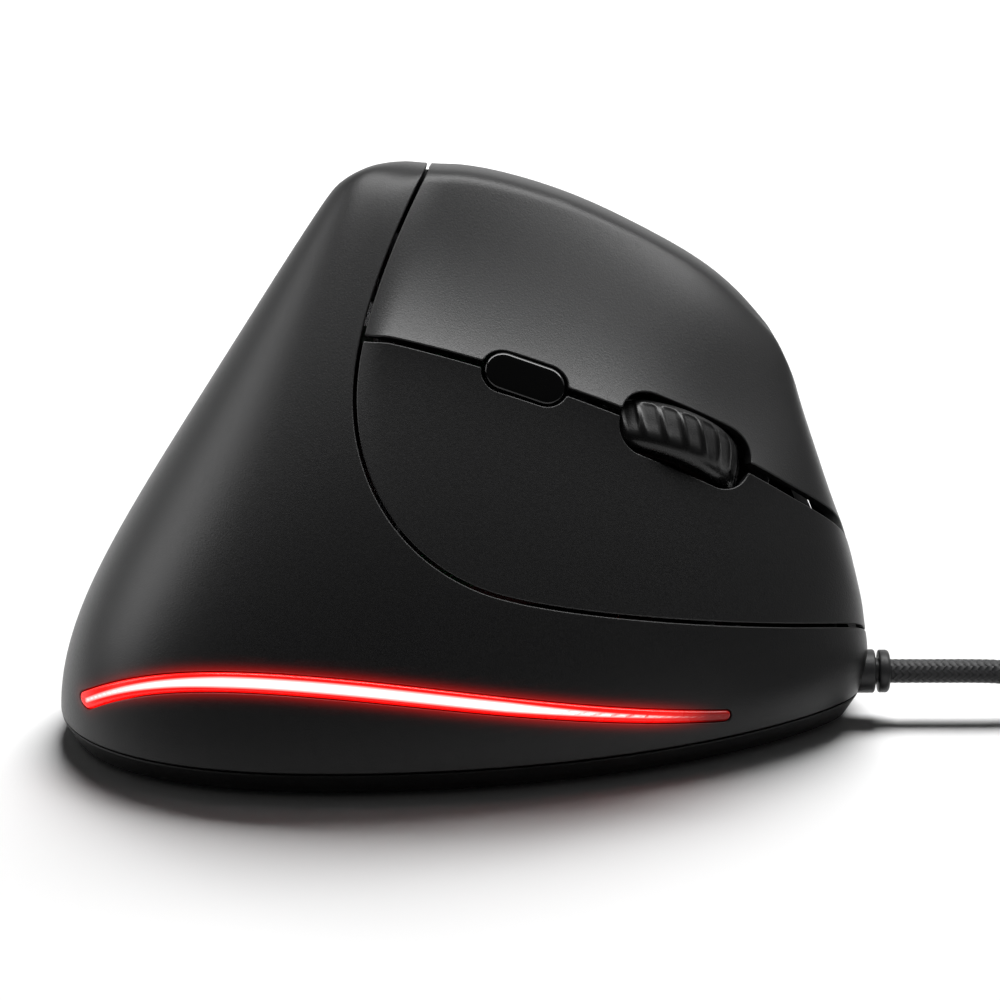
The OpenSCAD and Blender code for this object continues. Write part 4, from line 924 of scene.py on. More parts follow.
def coil_spot(turn):
    """The cable's middle after so many turns of the coil: in on the lower layer, out on the upper one."""
    half = COIL_TURNS / 2
    r = COIL_R - COIL_PITCH * (half - abs(half - turn))
    angle = math.radians(90 - 360 * turn)
    z = mix(COIL_LOW, COIL_HIGH, float(smooth((turn - half) / .5 + .5)))
    return [COIL_MID[0] + r * math.cos(angle), COIL_MID[1] + r * math.sin(angle), z]


def cable_knots():
    """The cable's route: its run from the nose, the coil and the tail to the plug."""
    rings = round(COIL_TURNS * LOOP_RINGS)
    coil = [coil_spot(COIL_TURNS * i / rings) for i in range(rings + 1)]
    out = unit(np.array(coil[-1]) - np.array(coil[-2]))
    leave = (np.array(coil[-1]) + CABLE_D * out).tolist()
    return np.array(RUN_POINTS + coil + [leave] + TAIL_POINTS)


def smooth_path(knots, steps):
    """Catmull-Rom curve through the knots."""
    ends = np.concatenate([[2 * knots[0] - knots[1]], knots, [2 * knots[-1] - knots[-2]]])
    t = (np.arange(steps) / steps)[:, None]
    out = []
    for a, b, c, d in zip(ends, ends[1:], ends[2:], ends[3:]):
        out.append(.5 * (2 * b + (c - a) * t + (2 * a - 5 * b + 4 * c - d) * t ** 2
                         + (3 * b - a - 3 * c + d) * t ** 3))
    return np.concatenate(out + [knots[-1:]])


def run_length(path):
    """Distance along a path, at each of its points."""
    return np.concatenate([[0], np.cumsum(np.linalg.norm(np.diff(path, axis=0), axis=1))])


def tube_points(path, radius_at, sides):
    """Rings of points round a path that never runs upright; radius_at takes angle and distance along."""
    tangent = unit(np.gradient(path, axis=0))
    tangent[0] = tangent[-1] = [1, 0, 0]
    across = unit(np.cross(tangent, [0, 0, 1]))
    up = np.cross(across, tangent)
    along = run_length(path)
    angle = np.arange(sides) * 2 * np.pi / sides
    r = radius_at(angle[None, :], along[:, None])[..., None]
    ring = np.cos(angle)[None, :, None] * across[:, None] + np.sin(angle)[None, :, None] * up[:, None]
    return path[:, None] + r * ring, along


BRAID_STRANDS, BRAID_PITCH, BRAID_SINK, BRAID_WAVE = 8, 2.0, .02, .05
CABLE_SIDES, FINE_STEP, COIL_STEP, FINE_RUN, FINE_FADE = 32, .25, .8, 48, 8


class MOUSE_OT_cable(bpy.types.Operator):
    """Makes the braided cable with its grommet, strap and plug"""

    bl_idname = "mouse.cable"
    bl_label = "Cable"

    def execute(self, context):
        dense = smooth_path(cable_knots(), 12)
        along = run_length(dense)
        total = along[-1]
        spots = np.concatenate([
            np.arange(0, FINE_RUN, FINE_STEP), np.arange(FINE_RUN, total - FINE_RUN, COIL_STEP),
            np.arange(total - FINE_RUN, total - FINE_STEP / 2, FINE_STEP), [total]])
        path = np.stack([np.interp(spots, along, dense[:, k]) for k in range(3)], axis=1)
        fine = 1 - smooth((spots - FINE_RUN + FINE_FADE) / FINE_FADE)
        fine = fine + smooth((spots - total + FINE_RUN) / FINE_FADE)

        def radius_at(angle, where):
            turn = where / BRAID_PITCH * 2 * np.pi
            wave = np.cos(BRAID_STRANDS * angle) * .5 + np.cos(2 * turn) * .5
            return CABLE_D / 2 - BRAID_SINK + BRAID_WAVE * wave * fine[:, None]

        rings, run = tube_points(path, radius_at, CABLE_SIDES)
        u = np.arange(CABLE_SIDES + 1) / CABLE_SIDES * BRAID_STRANDS
        uv = np.stack(np.broadcast_arrays(u[None, :], (run / BRAID_PITCH * 2)[:, None]), -1)
        points = np.concatenate([rings.reshape(-1, 3), path[[0, -1]]])
        groups = [grid_faces(len(path), CABLE_SIDES, True)] + cap_faces(len(path), CABLE_SIDES)
        groups = [group[:, ::-1] for group in groups]
        cable = make_object("braided_cable", points, groups, finish("braided_sleeve"))
        layer = cable.data.uv_layers.new(name="UVMap")
        flat = np.stack([uv[1:, :-1], uv[1:, 1:], uv[:-1, 1:], uv[:-1, :-1]], axis=2).reshape(-1, 2)
        loops = np.zeros((len(cable.data.loops), 2), np.float32)
        loops[:len(flat)] = flat
        layer.uv.foreach_set("vector", loops.ravel())
        settle(cable, "housing", "braid", "cable_run", "cable_coil", "cable_tail")
        strap = self.make_strap()
        plug = self.make_plug()
        self.make_grommet()
        return {"FINISHED"}

    def make_strap(self):
        """Loop of woven strap round the bundle of turns."""
        low, high = (np.array(corner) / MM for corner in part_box("cable_strap"))
        mid, half = (low + high) / 2, (high - low) / 2
        thick, bevel, corner, steps = .5, .12, 1.6, 9
        outer = rounded_outline(half[1], half[2], corner, steps)
        inner = rounded_outline(half[1] - thick, half[2] - thick, corner - thick, steps)
        rows = []
        for way, skin, other in ((1, outer, inner), (-1, inner, outer)):
            for x, sink in ((-half[0], bevel), (-half[0] + bevel, 0), (half[0] - bevel, 0), (half[0], bevel)):
                ring = mix(skin, other, sink / thick)
                rows.append(np.column_stack([np.full(len(ring), way * x), ring]))
        points = np.concatenate(rows) + mid
        cols = len(outer)
        faces = grid_faces(len(rows), cols, True)
        j = np.arange(cols)
        k = (j + 1) % cols
        last = (len(rows) - 1) * cols
        close = np.stack([last + j, last + k, k, j], 1)
        strap = make_object("cable_tie_strap", points, [faces, close], finish("strap_weave"))
        crease_by_angle(strap, 40)
        return settle(strap, "housing", "rubber", "cable_strap")

    def make_plug(self):
        """Moulded plug body: a rounded block with finger grooves, drawn in to the cable.

        Each station has its place along the plug, its half width and half height, and its corners' radius.
        """
        rows = []
        stations = [(0, 2.0, 2.0, 2.0), (.15, 2.2, 2.2, 2.2), (1.2, 2.5, 2.5, 2.5), (2.6, 3.0, 2.95, 2.9)]
        stations += [(3.0, 4.8, 3.1, 2.6), (3.2, 6.0, 3.35, 2.3), (3.6, 6.8, 3.6, 2.1), (4.3, 7.3, 3.76, 2.0)]
        stations += [(5.2, 7.5, 3.8, 2.0)]
        for groove in (8.0, 11.0, 14.0, 17.0):
            stations += [(groove - .7, 7.5, 3.8, 2.0), (groove - .45, 7.42, 3.72, 2.0),
                         (groove - .2, 7.22, 3.52, 1.9), (groove + .2, 7.22, 3.52, 1.9),
                         (groove + .45, 7.42, 3.72, 2.0), (groove + .7, 7.5, 3.8, 2.0)]
        stations += [(26.2, 7.5, 3.8, 2.0), (26.6, 7.42, 3.72, 1.95), (26.86, 7.25, 3.55, 1.85),
                     (PLUG_L, 6.95, 3.25, 1.6)]
        for x, half_y, half_z, r in stations:
            ring = rounded_outline(half_y, half_z, min(r, half_z - .001), 7)
            rows.append(np.column_stack([np.full(len(ring), x), ring]))
        cols = len(rows[0])
        points = np.concatenate(rows + [[[0, 0, 0]], [[PLUG_L, 0, 0]]]) + PLUG_AT
        groups = [grid_faces(len(rows), cols, True)] + cap_faces(len(rows), cols)
        plug = make_object("plug_grip", points, groups, finish("cable_rubber"))
        crease_by_angle(plug, 50)
        return settle(plug, "housing", "rubber", "usb_plug_body")

    def make_grommet(self):
        """Grommet: a flange in the nose, a slim ribbed neck and a rounded collar."""
        profile = [(-6, 1.6), (-6, 3.6), (-5.7, 3.9), (-4.9, 3.9), (-4.6, 3.6), (-4.6, 3.15)]
        profile += [(.45, 3.15), (.6, 3.1), (.7, 3.0), (.75, 2.85), (.75, 1.7), (.85, 1.7), (.9, 1.95),
                    (1.1, 1.95), (1.15, 1.7), (1.3, 1.7)]
        profile += [(1.3, 2.85), (1.35, 3.0), (1.48, 3.09), (2.3, 3.1), (2.55, 3.03), (2.74, 2.88),
                    (2.86, 2.62), (2.9, 2.3), (2.9, 1.7)]
        relief = turned_piece("cable_grommet", profile, GLAND, 64, finish("cable_rubber"))
        return settle(relief, "housing", "rubber", "strain_relief")


def aimed(place, target):
    """Turn of a camera or a lamp that looks from one spot at another."""
    return (Vector(target) - Vector(place)).to_track_quat("-Z", "Y").to_euler()


LENS, SENSOR_W, SHIFT = 122.2, 36.0, (.0322, -.0311)
CAMERA_AT, CAMERA_AIM = (0, -.4662, .1697), (0, 0, .036)


class MOUSE_OT_camera(bpy.types.Operator):
    """Sets the camera at the photograph's angle"""

    bl_idname = "mouse.camera"
    bl_label = "Camera"

    def execute(self, context):
        data = bpy.data.cameras.new("studio_camera")
        data.lens, data.sensor_width = LENS, SENSOR_W
        data.shift_x, data.shift_y = SHIFT
        camera = bpy.data.objects.new("studio_camera", data)
        context.scene.collection.objects.link(camera)
        camera.location = CAMERA_AT
        camera.rotation_euler = aimed(CAMERA_AT, CAMERA_AIM)
        context.scene.camera = camera
        return {"FINISHED"}


SHELL_WALL, BUTTON_WALL = 2.0, 1.2
STRIP_WALL, STRIP_PROUD, STRIP_EDGE = 2.4, .12, .45
KEY_WALL, KEY_EDGE = 3.2, .8


class MOUSE_OT_shells(bpy.types.Operator):
    """Makes the palm shell, the thumb shell and the two finger buttons"""

    bl_idname = "mouse.shells"
    bl_label = "Shells and buttons"

    def execute(self, context):
        shell, button = finish("soft_touch_shell"), finish("soft_touch_button")
        palm, points = make_panel("palm_cover", "housing", "shell", "palm_shell", palm_edges, SHELL_WALL,
                                  shell)
        # Share of the red glow painted on the palm shell beside the strip, standing in for the strip's light
        # on it, stored on each point
        share = line_distance(strip_line(), points[:, 0], points[:, 2])[2]
        glow = np.exp(-(np.maximum(off_strip(points, 0)[0], 0) / HALO_REACH) ** HALO_CURVE)
        glow *= mix(HALO_START, 1, smooth(share / HALO_RISE)) * smooth((1 - share) / HALO_FALL)
        add_values(palm.data, "halo", glow)
        make_panel("thumb_cover", "housing", "shell", "thumb_shell", thumb_edges, SHELL_WALL, shell)
        for name, node, side in (("upper_button", "left_button", 1), ("lower_button", "right_button", -1)):
            make_panel(name, node, "button", node, functools.partial(button_edges, side=side), BUTTON_WALL,
                       button, relief=functools.partial(split_rise, side=side))
        return {"FINISHED"}


class MOUSE_OT_light_strip(bpy.types.Operator):
    """Makes the lit strip on the skirt"""

    bl_idname = "mouse.light_strip"
    bl_label = "Light strip"

    def execute(self, context):
        edges = lambda p: [outside(off_strip(p, -STRIP_GAP))]
        obj, points = make_panel("red_light_strip", "housing", "glow", "light_strip", edges, STRIP_WALL,
                                 finish("lit_strip"), STRIP_PROUD, STRIP_EDGE)
        value, _, share = line_distance(strip_line(), points[:, 0], points[:, 2])
        add_values(obj.data, "along", share)
        add_values(obj.data, "across", np.clip(np.abs(value) / strip_half(share), 0, 1))
        return {"FINISHED"}


class MOUSE_OT_thumb_keys(bpy.types.Operator):
    """Makes the two thumb keys"""

    bl_idname = "mouse.thumb_keys"
    bl_label = "Thumb keys"

    def execute(self, context):
        for mid, node in zip(KEY_MIDS, ("thumb_key_front", "thumb_key_rear")):
            make_panel(node + "_cap", node, "button", node,
                       lambda p, m=mid: [outside(off_key(p, m, 0))], KEY_WALL,
                       finish("soft_touch_button"), KEY_PROUD, KEY_EDGE)
        return {"FINISHED"}


class MOUSE_OT_speed_button(bpy.types.Operator):
    """Makes the polished speed button"""

    bl_idname = "mouse.speed_button"
    bl_label = "Speed button"

    def execute(self, context):
        profile = [(.5, -1.9), (.35, -1.7), (.12, .3), (.1, .66), (.12, .8), (.17, .91), (.26, 1.0),
                   (.4, 1.06), (.6, 1.1), (.9, 1.13), (1.4, 1.15), (2.1, 1.16)]
        rows = []
        for inset, height in profile:
            half_x, half_y = SPEED_L / 2 - inset, SPEED_W / 2 - inset
            ring = rounded_outline(half_x, half_y, half_y - .0001, 13)
            rows.append(SPEED_SPOT + ring[:, :1] * SPLIT_P + ring[:, 1:] * SPLIT_Q + height * FACE_C)
        cols = len(rows[0])
        points = np.concatenate(rows)
        faces = grid_faces(len(rows), cols, True)
        ends = [np.arange(cols)[None, ::-1], (np.arange(cols) + (len(rows) - 1) * cols)[None]]
        obj = make_object("speed_key", points, [faces] + ends, finish("polished_black"))
        crease_by_angle(obj, 50)
        settle(obj, "speed_button", "gloss_black", "speed_button")
        return {"FINISHED"}


def wheel_matrix():
    """Where the wheel's own frame stands in the part's, in millimetres; Y is its axle."""
    face = Matrix([list(row) + [0] for row in np.stack([FACE_A, FACE_B, FACE_C], 1)] + [[0, 0, 0, 1]])
    return (face @ Matrix.Translation((0, SPLIT_HEIGHT, 0)) @ Matrix.Rotation(-SLOPE, 4, "Z")
            @ Matrix.Translation((WHEEL_AT, 0, WHEEL_SKIN)) @ Matrix.Rotation(WHEEL_LEAN, 4, "Y")
            @ Matrix.Translation((0, 0, WHEEL_PROUD - WHEEL_R)))


PADS, PAD_DEPTH, PAD_W, PAD_SLANT, PAD_REACH, TYRE_CROWN = 24, .34, 2.2, math.radians(26), 2.75, 1.7
PAD_RAMP, PAD_CORNER, PAD_EDGE, PAD_BLEND = 3.2, .55, .3, .75
RIM_CURVE, RIM_STEP, WELD_GAP = 2.4, .1, 2e-6


def tread_slice():
    """One pitch of the tyre, slanted like its pads: points in the wheel's frame, faces and pad share."""
    pitch = 2 * math.pi / PADS
    across = np.unique(np.concatenate([
        np.linspace(-.5, .5, 9),
        *[side * (PAD_W / 2 + np.array([-.42, -.3, -.18, -.06, .06, .18, .3])) / (WHEEL_R * pitch)
          for side in (-1, 1)]]))
    y = np.unique(np.concatenate([
        np.linspace(-1, 1, 21),
        *[side * (PAD_REACH + np.array([-.45, -.3, -.15, 0, .15])) / (WHEEL_W / 2) for side in (-1, 1)],
        [-.97, -.985, -.995, .97, .985, .995]]))
    crown = WHEEL_R - TYRE_CROWN * (1 - np.sqrt(np.maximum(1 - np.abs(y) ** RIM_CURVE, 0)))
    crown[[0, -1]] -= RIM_STEP
    profile = np.concatenate([[[HUB_R, -1]], np.column_stack([crown, y]), [[HUB_R, 1]]])
    angle, w = np.meshgrid(across * pitch, profile[:, 1], indexing="ij")
    radius = np.broadcast_to(profile[:, 0], angle.shape).copy()
    axial = w * WHEEL_W / 2
    gap, _ = box_distance((angle * WHEEL_R).ravel(), axial.ravel(), PAD_W / 2, PAD_REACH, PAD_CORNER)
    pad = smooth((PAD_EDGE - gap.reshape(angle.shape)) / PAD_BLEND)
    pad *= smooth((axial + PAD_REACH) / PAD_RAMP)
    pad[:, [0, -1]] = 0
    radius -= PAD_DEPTH * pad
    turn = angle + math.pi / 2 + math.tan(PAD_SLANT) * axial / WHEEL_R
    points = np.stack([radius * np.cos(turn), axial, radius * np.sin(turn)], -1).reshape(-1, 3)
    return points, grid_faces(len(across), len(profile), False), pad.ravel()


def ring_tree(count, material):
    """Geometry Nodes tree that repeats its input round the Y axis and joins the copies."""
    tree = bpy.data.node_groups.new("repeat_round_axle", "GeometryNodeTree")
    tree.interface.new_socket(name="Slice", in_out="INPUT", socket_type="NodeSocketGeometry")
    amount = tree.interface.new_socket(name="Copies", in_out="INPUT", socket_type="NodeSocketInt")
    amount.default_value = count
    weld = tree.interface.new_socket(name="Weld", in_out="INPUT", socket_type="NodeSocketFloat")
    weld.default_value = WELD_GAP
    tree.interface.new_socket(name="Ring", in_out="OUTPUT", socket_type="NodeSocketGeometry")
    add = tree.nodes.new
    inp, out = add("NodeGroupInput"), add("NodeGroupOutput")
    line = add("GeometryNodeMeshLine")
    line.inputs["Offset"].default_value = (0, 0, 0)
    dots = add("GeometryNodeMeshToPoints")
    index, share, turn = add("GeometryNodeInputIndex"), add("ShaderNodeMath"), add("ShaderNodeMath")
    share.operation, turn.operation = "DIVIDE", "MULTIPLY"
    turn.inputs[1].default_value = 2 * math.pi
    spin, place = add("ShaderNodeCombineXYZ"), add("GeometryNodeInstanceOnPoints")
    real, merge = add("GeometryNodeRealizeInstances"), add("GeometryNodeMergeByDistance")
    paint = add("GeometryNodeSetMaterial")
    paint.inputs["Material"].default_value = material
    link = tree.links.new
    link(inp.outputs["Copies"], line.inputs["Count"])
    link(line.outputs["Mesh"], dots.inputs["Mesh"])
    link(dots.outputs["Points"], place.inputs["Points"])
    link(inp.outputs["Slice"], place.inputs["Instance"])
    link(index.outputs[0], share.inputs[0])
    link(inp.outputs["Copies"], share.inputs[1])
    link(share.outputs[0], turn.inputs[0])
    link(turn.outputs[0], spin.inputs["Y"])
    link(spin.outputs[0], place.inputs["Rotation"])
    link(place.outputs["Instances"], real.inputs["Geometry"])
    link(real.outputs["Geometry"], merge.inputs["Geometry"])
    link(inp.outputs["Weld"], merge.inputs["Distance"])
    link(merge.outputs["Geometry"], paint.inputs["Geometry"])
    link(paint.outputs["Geometry"], out.inputs[0])
    return tree, {"Copies": amount.identifier, "Weld": weld.identifier}


class MOUSE_OT_wheel(bpy.types.Operator):
    """Makes the scroll wheel's tyre from one pitch of its tread"""

    bl_idname = "mouse.wheel"
    bl_label = "Scroll wheel"

    def execute(self, context):
        points, faces, pad = tread_slice()
        rubber = finish("tread_rubber")
        piece = make_object("wheel_tread", points, [faces], rubber)
        add_values(piece.data, "pad", pad)
        tree, names = ring_tree(PADS, rubber)
        modifier = piece.modifiers.new("Round the axle", "NODES")
        modifier.node_group = tree
        modifier[names["Copies"]] = PADS
        modifier[names["Weld"]] = WELD_GAP
        context.view_layer.update()
        done = bpy.data.meshes.new_from_object(piece.evaluated_get(context.evaluated_depsgraph_get()))
        piece.modifiers.remove(modifier)
        piece.data = done
        scaled = wheel_matrix()
        scaled.translation = scaled.translation * MM
        done.transform(scaled)
        crease_by_angle(piece, 60)
        settle(piece, "scroll_wheel", "rubber", "wheel_tyre")
        return {"FINISHED"}


RIM_SIDES, SCREW_SIDES, WELL_INSET, NOTCH_FROM = 320, 28, 4.2, 48


class MOUSE_OT_base(bpy.types.Operator):
    """Makes the base tray with its screw and sensor holes"""

    bl_idname = "mouse.base"
    bl_label = "Base tray"

    def execute(self, context):
        count, screw_sides = RIM_SIDES, SCREW_SIDES
        profile = [(WELL_INSET, LIP_TOP), (3.0, LIP_TOP), (3.0, TRAY_TOP), (.4, TRAY_TOP),
                   (.2, TRAY_TOP - .05), (.13, TRAY_TOP - .2), (1.7, 1.2), (1.83, 1.0), (2.02, .87),
                   (2.35, FOOT_H)]
        rings = [np.column_stack([rim_outline(inset, count), np.full(count, z)]) for inset, z in profile]
        rings.insert(0, np.column_stack([rim_outline(WELL_INSET, count), np.full(count, FLOOR_TOP)]))
        points = [np.concatenate(rings)]
        groups = [grid_faces(len(rings), count, True)[:, ::-1]]
        start = len(points[0])
        holes = []
        for spot in SCREW_SPOTS:
            angle = np.arange(screw_sides) * 2 * np.pi / screw_sides
            circle = np.column_stack([np.cos(angle), np.sin(angle)])
            stack = [(2.6, FOOT_H), (2.5, FOOT_H + .12), (2.5, FOOT_H + 1.1),
                     (1.25, FOOT_H + 1.1), (1.25, FLOOR_TOP)]
            holes.append([np.column_stack([circle * r + spot, np.full(screw_sides, z)]) for r, z in stack])
        outline = rounded_outline(4.5, 3.5, 2.0, 7)
        holes.append([np.column_stack([outline * k + SENSOR_SPOT, np.full(len(outline), z)])
                      for k, z in ((1.03, FOOT_H), (1.0, FOOT_H + .15), (1.0, FLOOR_TOP))])
        bottom, top = [np.arange(count) + (len(rings) - 1) * count], [np.arange(count)]
        for stack in holes:
            size = len(stack[0])
            points.append(np.concatenate(stack))
            groups.append(grid_faces(len(stack), size, True)[:, ::-1] + start)
            bottom.append(np.arange(size) + start)
            top.append(np.arange(size) + start + (len(stack) - 1) * size)
            start += size * len(stack)
        points = np.concatenate(points)
        for loops, upward in ((bottom, False), (top, True)):
            groups.append(self.fill(points, loops, upward))
        notch = (points[:, 0] > NOTCH_FROM) & (np.abs(points[:, 1] - GLAND[1]) < GLAND_R)
        reach = np.sqrt(np.maximum(GLAND_R ** 2 - (points[:, 1] - GLAND[1]) ** 2, 0))
        low = GLAND[2] - reach
        points[:, 2] = np.where(notch, np.minimum(points[:, 2], np.maximum(low, FLOOR_TOP)), points[:, 2])
        tray = make_object("base_pan", points, groups, finish("textured_base"))
        crease_by_angle(tray, 38)
        settle(tray, "housing", "base", "base_tray")
        return {"FINISHED"}

    def fill(self, points, loops, upward):
        """Flat face between an outline and its holes."""
        ids = np.concatenate(loops)
        place, edges = 0, []
        for loop in loops:
            edges += [(place + i, place + (i + 1) % len(loop)) for i in range(len(loop))]
            place += len(loop)
        made = delaunay_2d_cdt([Vector(p[:2]) for p in points[ids]], edges, [], 0, 1e-7)
        spots = np.array([v[:] for v in made[0]])
        source = np.array([ids[o[0]] for o in made[3]])
        faces = np.array(made[2])
        mids = spots[faces].mean(axis=1)
        inside = np.zeros(len(faces), int)
        for loop in loops:
            ring = points[loop][:, :2]
            after = np.roll(ring, -1, axis=0)
            for (x0, y0), (x1, y1) in zip(ring, after):
                crosses = (y0 > mids[:, 1]) != (y1 > mids[:, 1])
                x = x0 + (mids[:, 1] - y0) / (y1 - y0 if y1 != y0 else 1e-12) * (x1 - x0)
                inside += crosses & (mids[:, 0] < x)
        faces = source[faces[inside % 2 == 1]]
        a, b, c = (points[faces[:, k]][:, :2] for k in range(3))
        area = (b[:, 0] - a[:, 0]) * (c[:, 1] - a[:, 1]) - (b[:, 1] - a[:, 1]) * (c[:, 0] - a[:, 0])
        flip = (area > 0) != upward
        faces[flip] = faces[flip][:, ::-1]
        return faces


CARRIED = {
    "switch_black": ["left_switch", "right_switch", "wheel_switch", "speed_switch", "thumb_switches",
                     "encoder_receiver", "main_chip", "sensor_chip"],
    "frame_grey": ["inner_frame", "wheel_cradle", "wheel_hub"],
    "cable_rubber": ["inner_lead"],
    "satin_steel": ["button_pin", "cradle_pin", "wheel_axle", "base_screws", "board_screws",
                    "usb_plug_shell"],
    "board_green": ["button_board", "thumb_board", "main_board"],
    "clear_plastic": ["sensor_lens", "encoder_emitter", "strip_leds"],
    "glide_pad": ["glide_feet"],
    "ivory_plastic": ["cable_header", "usb_plug_tongue"],
}


class MOUSE_OT_inner_parts(bpy.types.Operator):
    """Gives the carried-over solids their finishes"""

    bl_idname = "mouse.inner_parts"
    bl_label = "Inner parts"

    def execute(self, context):
        for name, nodes in CARRIED.items():
            for node in nodes:
                slots = NODES[node].material_slots
                if not slots:
                    raise RuntimeError(f"{node} has no material slot")
                for slot in slots:
                    slot.material = finish(name)
        return {"FINISHED"}


# Soft boxes: size, place and the spot they face, in metres
MOUSE_MID = (0, 0, .04)
SOFT_BOXES = {
    "top": ((1.5, .35), (.22, .03, 1.0), (.22, 0, .04)),
    "left": ((.5, .6), (-.95, .12, .55), MOUSE_MID),
    "right": ((.4, .5), (.95, .12, .8), MOUSE_MID),
    "rear": ((1.2, .8), (.2, 1.0, .7), MOUSE_MID),
}
FLOOR_SIDES, FLOOR_OUTER, FLOOR_INNER, FLOOR_DROP = 96, 4000, 600, .02


def area_light(name, size, power, location, target):
    data = bpy.data.lights.new(name, "AREA")
    data.shape, data.size, data.size_y = "RECTANGLE", size[0], size[1]
    data.energy = power
    light = bpy.data.objects.new(name, data)
    bpy.context.scene.collection.objects.link(light)
    light.location = location
    light.rotation_euler = aimed(location, target)
    return light


class MOUSE_OT_stage(bpy.types.Operator):
    """Makes the white floor, the soft lights and the world"""

    bl_idname = "mouse.stage"
    bl_label = "Studio"

    def execute(self, context):
        studio = context.scene.mouse_studio
        context.scene.view_settings.view_transform = "Standard"
        floor = self.make_floor()
        self.make_world(context.scene, studio)
        key = area_light("floor_light", (1.1, .7), studio.floor_power, (.3, 1.2, 1.5), (0, -.02, 0))
        self.link_light(key, floor, "INCLUDE")
        for side, (size, place, target) in SOFT_BOXES.items():
            light = area_light("soft_box_" + side, size, getattr(studio, side + "_power"), place, target)
            self.link_light(light, floor, "EXCLUDE")
        return {"FINISHED"}

    def link_light(self, light, floor, state):
        """Parts the lamp that throws the shadow on the floor from the lamps that model the mouse."""
        group = bpy.data.collections.new(light.name + "_lights")
        group.objects.link(floor)
        group.collection_objects[0].light_linking.link_state = state
        light.light_linking.receiver_collection = group

    def make_floor(self):
        """White where it is seen or mirrored, darker where it would throw light back at the mouse."""
        n = Nodes("white_floor")
        path = n.add("ShaderNodeLightPath")
        seen = n.math("MAXIMUM", path.outputs["Is Camera Ray"],
                      n.math("MAXIMUM", path.outputs["Is Glossy Ray"], path.outputs["Is Transmission Ray"]))
        white = n.blend(n.noise(4.0, 2.0), (.9, .9, .9, 1), (.93, .93, .93, 1))
        n.set(Base_Color=n.blend(seen, (.12, .12, .12, 1), white), Roughness=.9, Specular_IOR_Level=0.0)
        angle = np.arange(FLOOR_SIDES) * 2 * np.pi / FLOOR_SIDES
        ring = np.column_stack([np.cos(angle), np.sin(angle), np.zeros(FLOOR_SIDES)])
        points = np.concatenate([ring * FLOOR_OUTER, ring * FLOOR_INNER]) - [0, 0, FLOOR_DROP]
        middle = (np.arange(FLOOR_SIDES) + FLOOR_SIDES)[None]
        floor = make_object("studio_floor", points, [grid_faces(2, FLOOR_SIDES, True), middle], n.material)
        return floor

    def make_world(self, scene, studio):
        """Even dim light, white where it is seen and paler towards the back where it is mirrored."""
        world = bpy.data.worlds.new("studio_world")
        scene.world = world
        world.use_nodes = True
        tree = world.node_tree
        back = tree.nodes["Background"]
        back.inputs["Color"].default_value = (1, 1, 1, 1)
        add, link = tree.nodes.new, tree.links.new
        path, where = add("ShaderNodeLightPath"), add("ShaderNodeTexCoord")
        parts = add("ShaderNodeSeparateXYZ")
        link(where.outputs["Generated"], parts.inputs[0])
        sweep = add("ShaderNodeMapRange")
        limits = {"From Min": .3, "From Max": .95, "To Min": studio.world_level, "To Max": 1.0}
        for key, value in limits.items():
            sweep.inputs[key].default_value = value
        link(parts.outputs["Y"], sweep.inputs["Value"])
        mirrored = add("ShaderNodeMath")
        mirrored.operation = "MAXIMUM"
        link(path.outputs["Is Glossy Ray"], mirrored.inputs[0])
        link(path.outputs["Is Transmission Ray"], mirrored.inputs[1])
        shown, level = add("ShaderNodeMix"), add("ShaderNodeMix")
        shown.data_type = level.data_type = "FLOAT"
        shown.inputs[2].default_value = studio.world_level
        link(sweep.outputs["Result"], shown.inputs[3])
        link(mirrored.outputs[0], shown.inputs[0])
        link(shown.outputs[0], level.inputs[2])
        level.inputs[3].default_value = 1.0
        link(path.outputs["Is Camera Ray"], level.inputs[0])
        link(level.outputs[0], back.inputs["Strength"])


# Settings


class MouseSizes(bpy.types.PropertyGroup):
    edge_radius: bpy.props.FloatProperty(
        name="Edge radius", description="Rounding of the panels' edges", default=.00022, min=.0001, max=.001,
        precision=5, unit="LENGTH")


class MouseFinish(bpy.types.PropertyGroup):
    shell_color: bpy.props.FloatVectorProperty(
        name="Shell colour", description="Colour of the two shells", subtype="COLOR", size=3,
        default=(.0065, .0065, .0068), min=0, max=1)
    button_color: bpy.props.FloatVectorProperty(
        name="Button colour", description="Colour of the buttons", subtype="COLOR", size=3,
        default=(.0065, .0065, .0068), min=0, max=1)


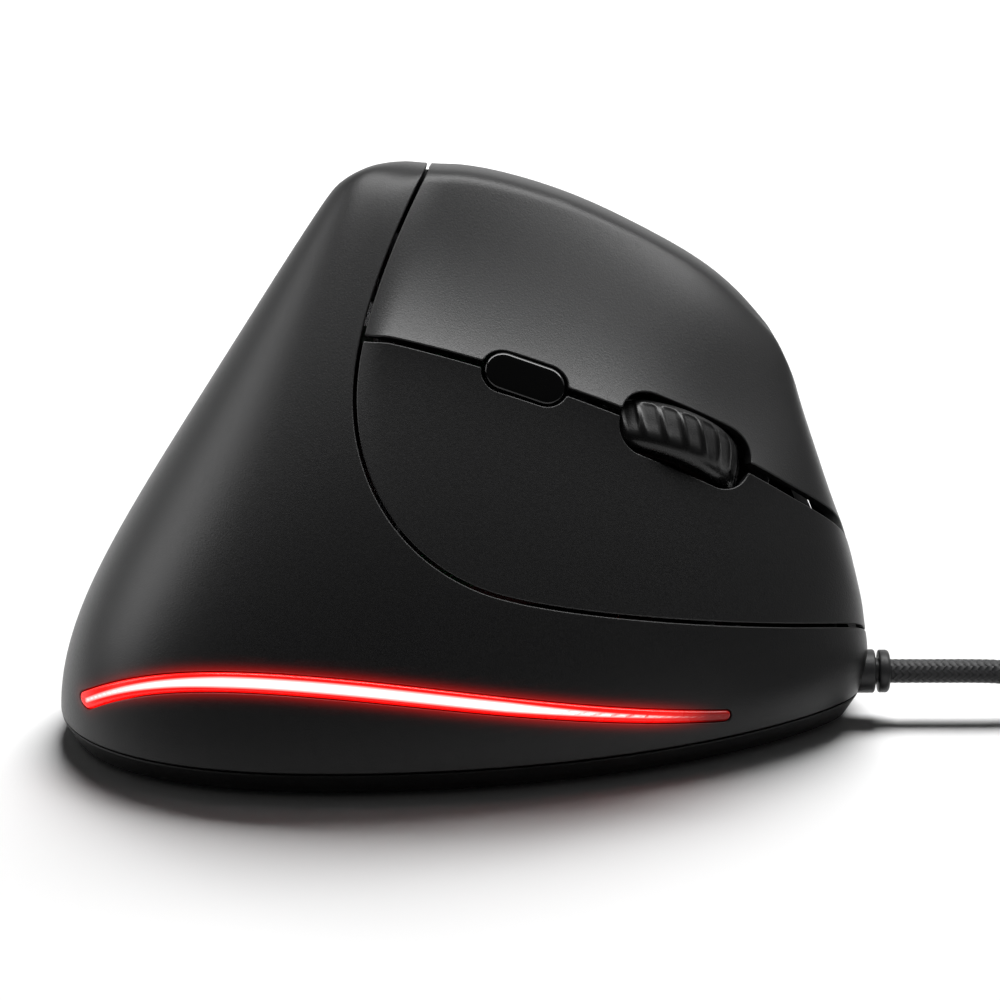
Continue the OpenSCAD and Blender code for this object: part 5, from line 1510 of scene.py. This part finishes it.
class MouseStudio(bpy.types.PropertyGroup):
    floor_power: bpy.props.FloatProperty(
        name="Floor light", description="Power of the lamp that whitens the floor and throws the shadow",
        default=62.0, min=0, unit="POWER")
    top_power: bpy.props.FloatProperty(
        name="Top light", description="Power of the soft box above", default=16.0, min=0, unit="POWER")
    left_power: bpy.props.FloatProperty(
        name="Left light", description="Power of the soft box beside the heel", default=3.6, min=0,
        unit="POWER")
    right_power: bpy.props.FloatProperty(
        name="Right light", description="Power of the soft box beside the nose", default=1.1, min=0,
        unit="POWER")
    rear_power: bpy.props.FloatProperty(
        name="Rear light", description="Power of the soft box behind", default=1.4, min=0, unit="POWER")
    world_level: bpy.props.FloatProperty(
        name="World light", description="Strength of the even light all round", default=.035, min=0)


class MOUSE_PT_panel(bpy.types.Panel):
    """Lists the settings and the steps of the mouse"""

    bl_idname = "MOUSE_PT_panel"
    bl_label = "Upright mouse"
    bl_space_type = "VIEW_3D"
    bl_region_type = "UI"
    bl_category = "Mouse"

    def draw(self, context):
        scene = context.scene
        for group in (scene.mouse_sizes, scene.mouse_finish, scene.mouse_studio):
            for key in group.__annotations__:
                self.layout.prop(group, key)
        for step in STEPS:
            self.layout.operator(step.bl_idname)


STEPS = (MOUSE_OT_camera, MOUSE_OT_cable, MOUSE_OT_shells, MOUSE_OT_light_strip, MOUSE_OT_thumb_keys,
         MOUSE_OT_speed_button, MOUSE_OT_wheel, MOUSE_OT_base, MOUSE_OT_inner_parts, MOUSE_OT_stage)
GROUPS = {"mouse_sizes": MouseSizes, "mouse_finish": MouseFinish, "mouse_studio": MouseStudio}


def register():
    for name, group in GROUPS.items():
        bpy.utils.register_class(group)
        setattr(bpy.types.Scene, name, bpy.props.PointerProperty(type=group))
    for item in STEPS + (MOUSE_PT_panel,):
        bpy.utils.register_class(item)


def unregister():
    for item in reversed(STEPS + (MOUSE_PT_panel,)):
        bpy.utils.unregister_class(item)
    for name, group in reversed(GROUPS.items()):
        delattr(bpy.types.Scene, name)
        bpy.utils.unregister_class(group)


def main():
    register()
    bpy.ops.mouse.camera()
    bpy.ops.mouse.cable()
    bpy.ops.mouse.shells()
    bpy.ops.mouse.light_strip()
    bpy.ops.mouse.thumb_keys()
    bpy.ops.mouse.speed_button()
    bpy.ops.mouse.wheel()
    bpy.ops.mouse.base()
    bpy.ops.mouse.inner_parts()
    bpy.ops.mouse.stage()


if __name__ == "__main__":
    main()
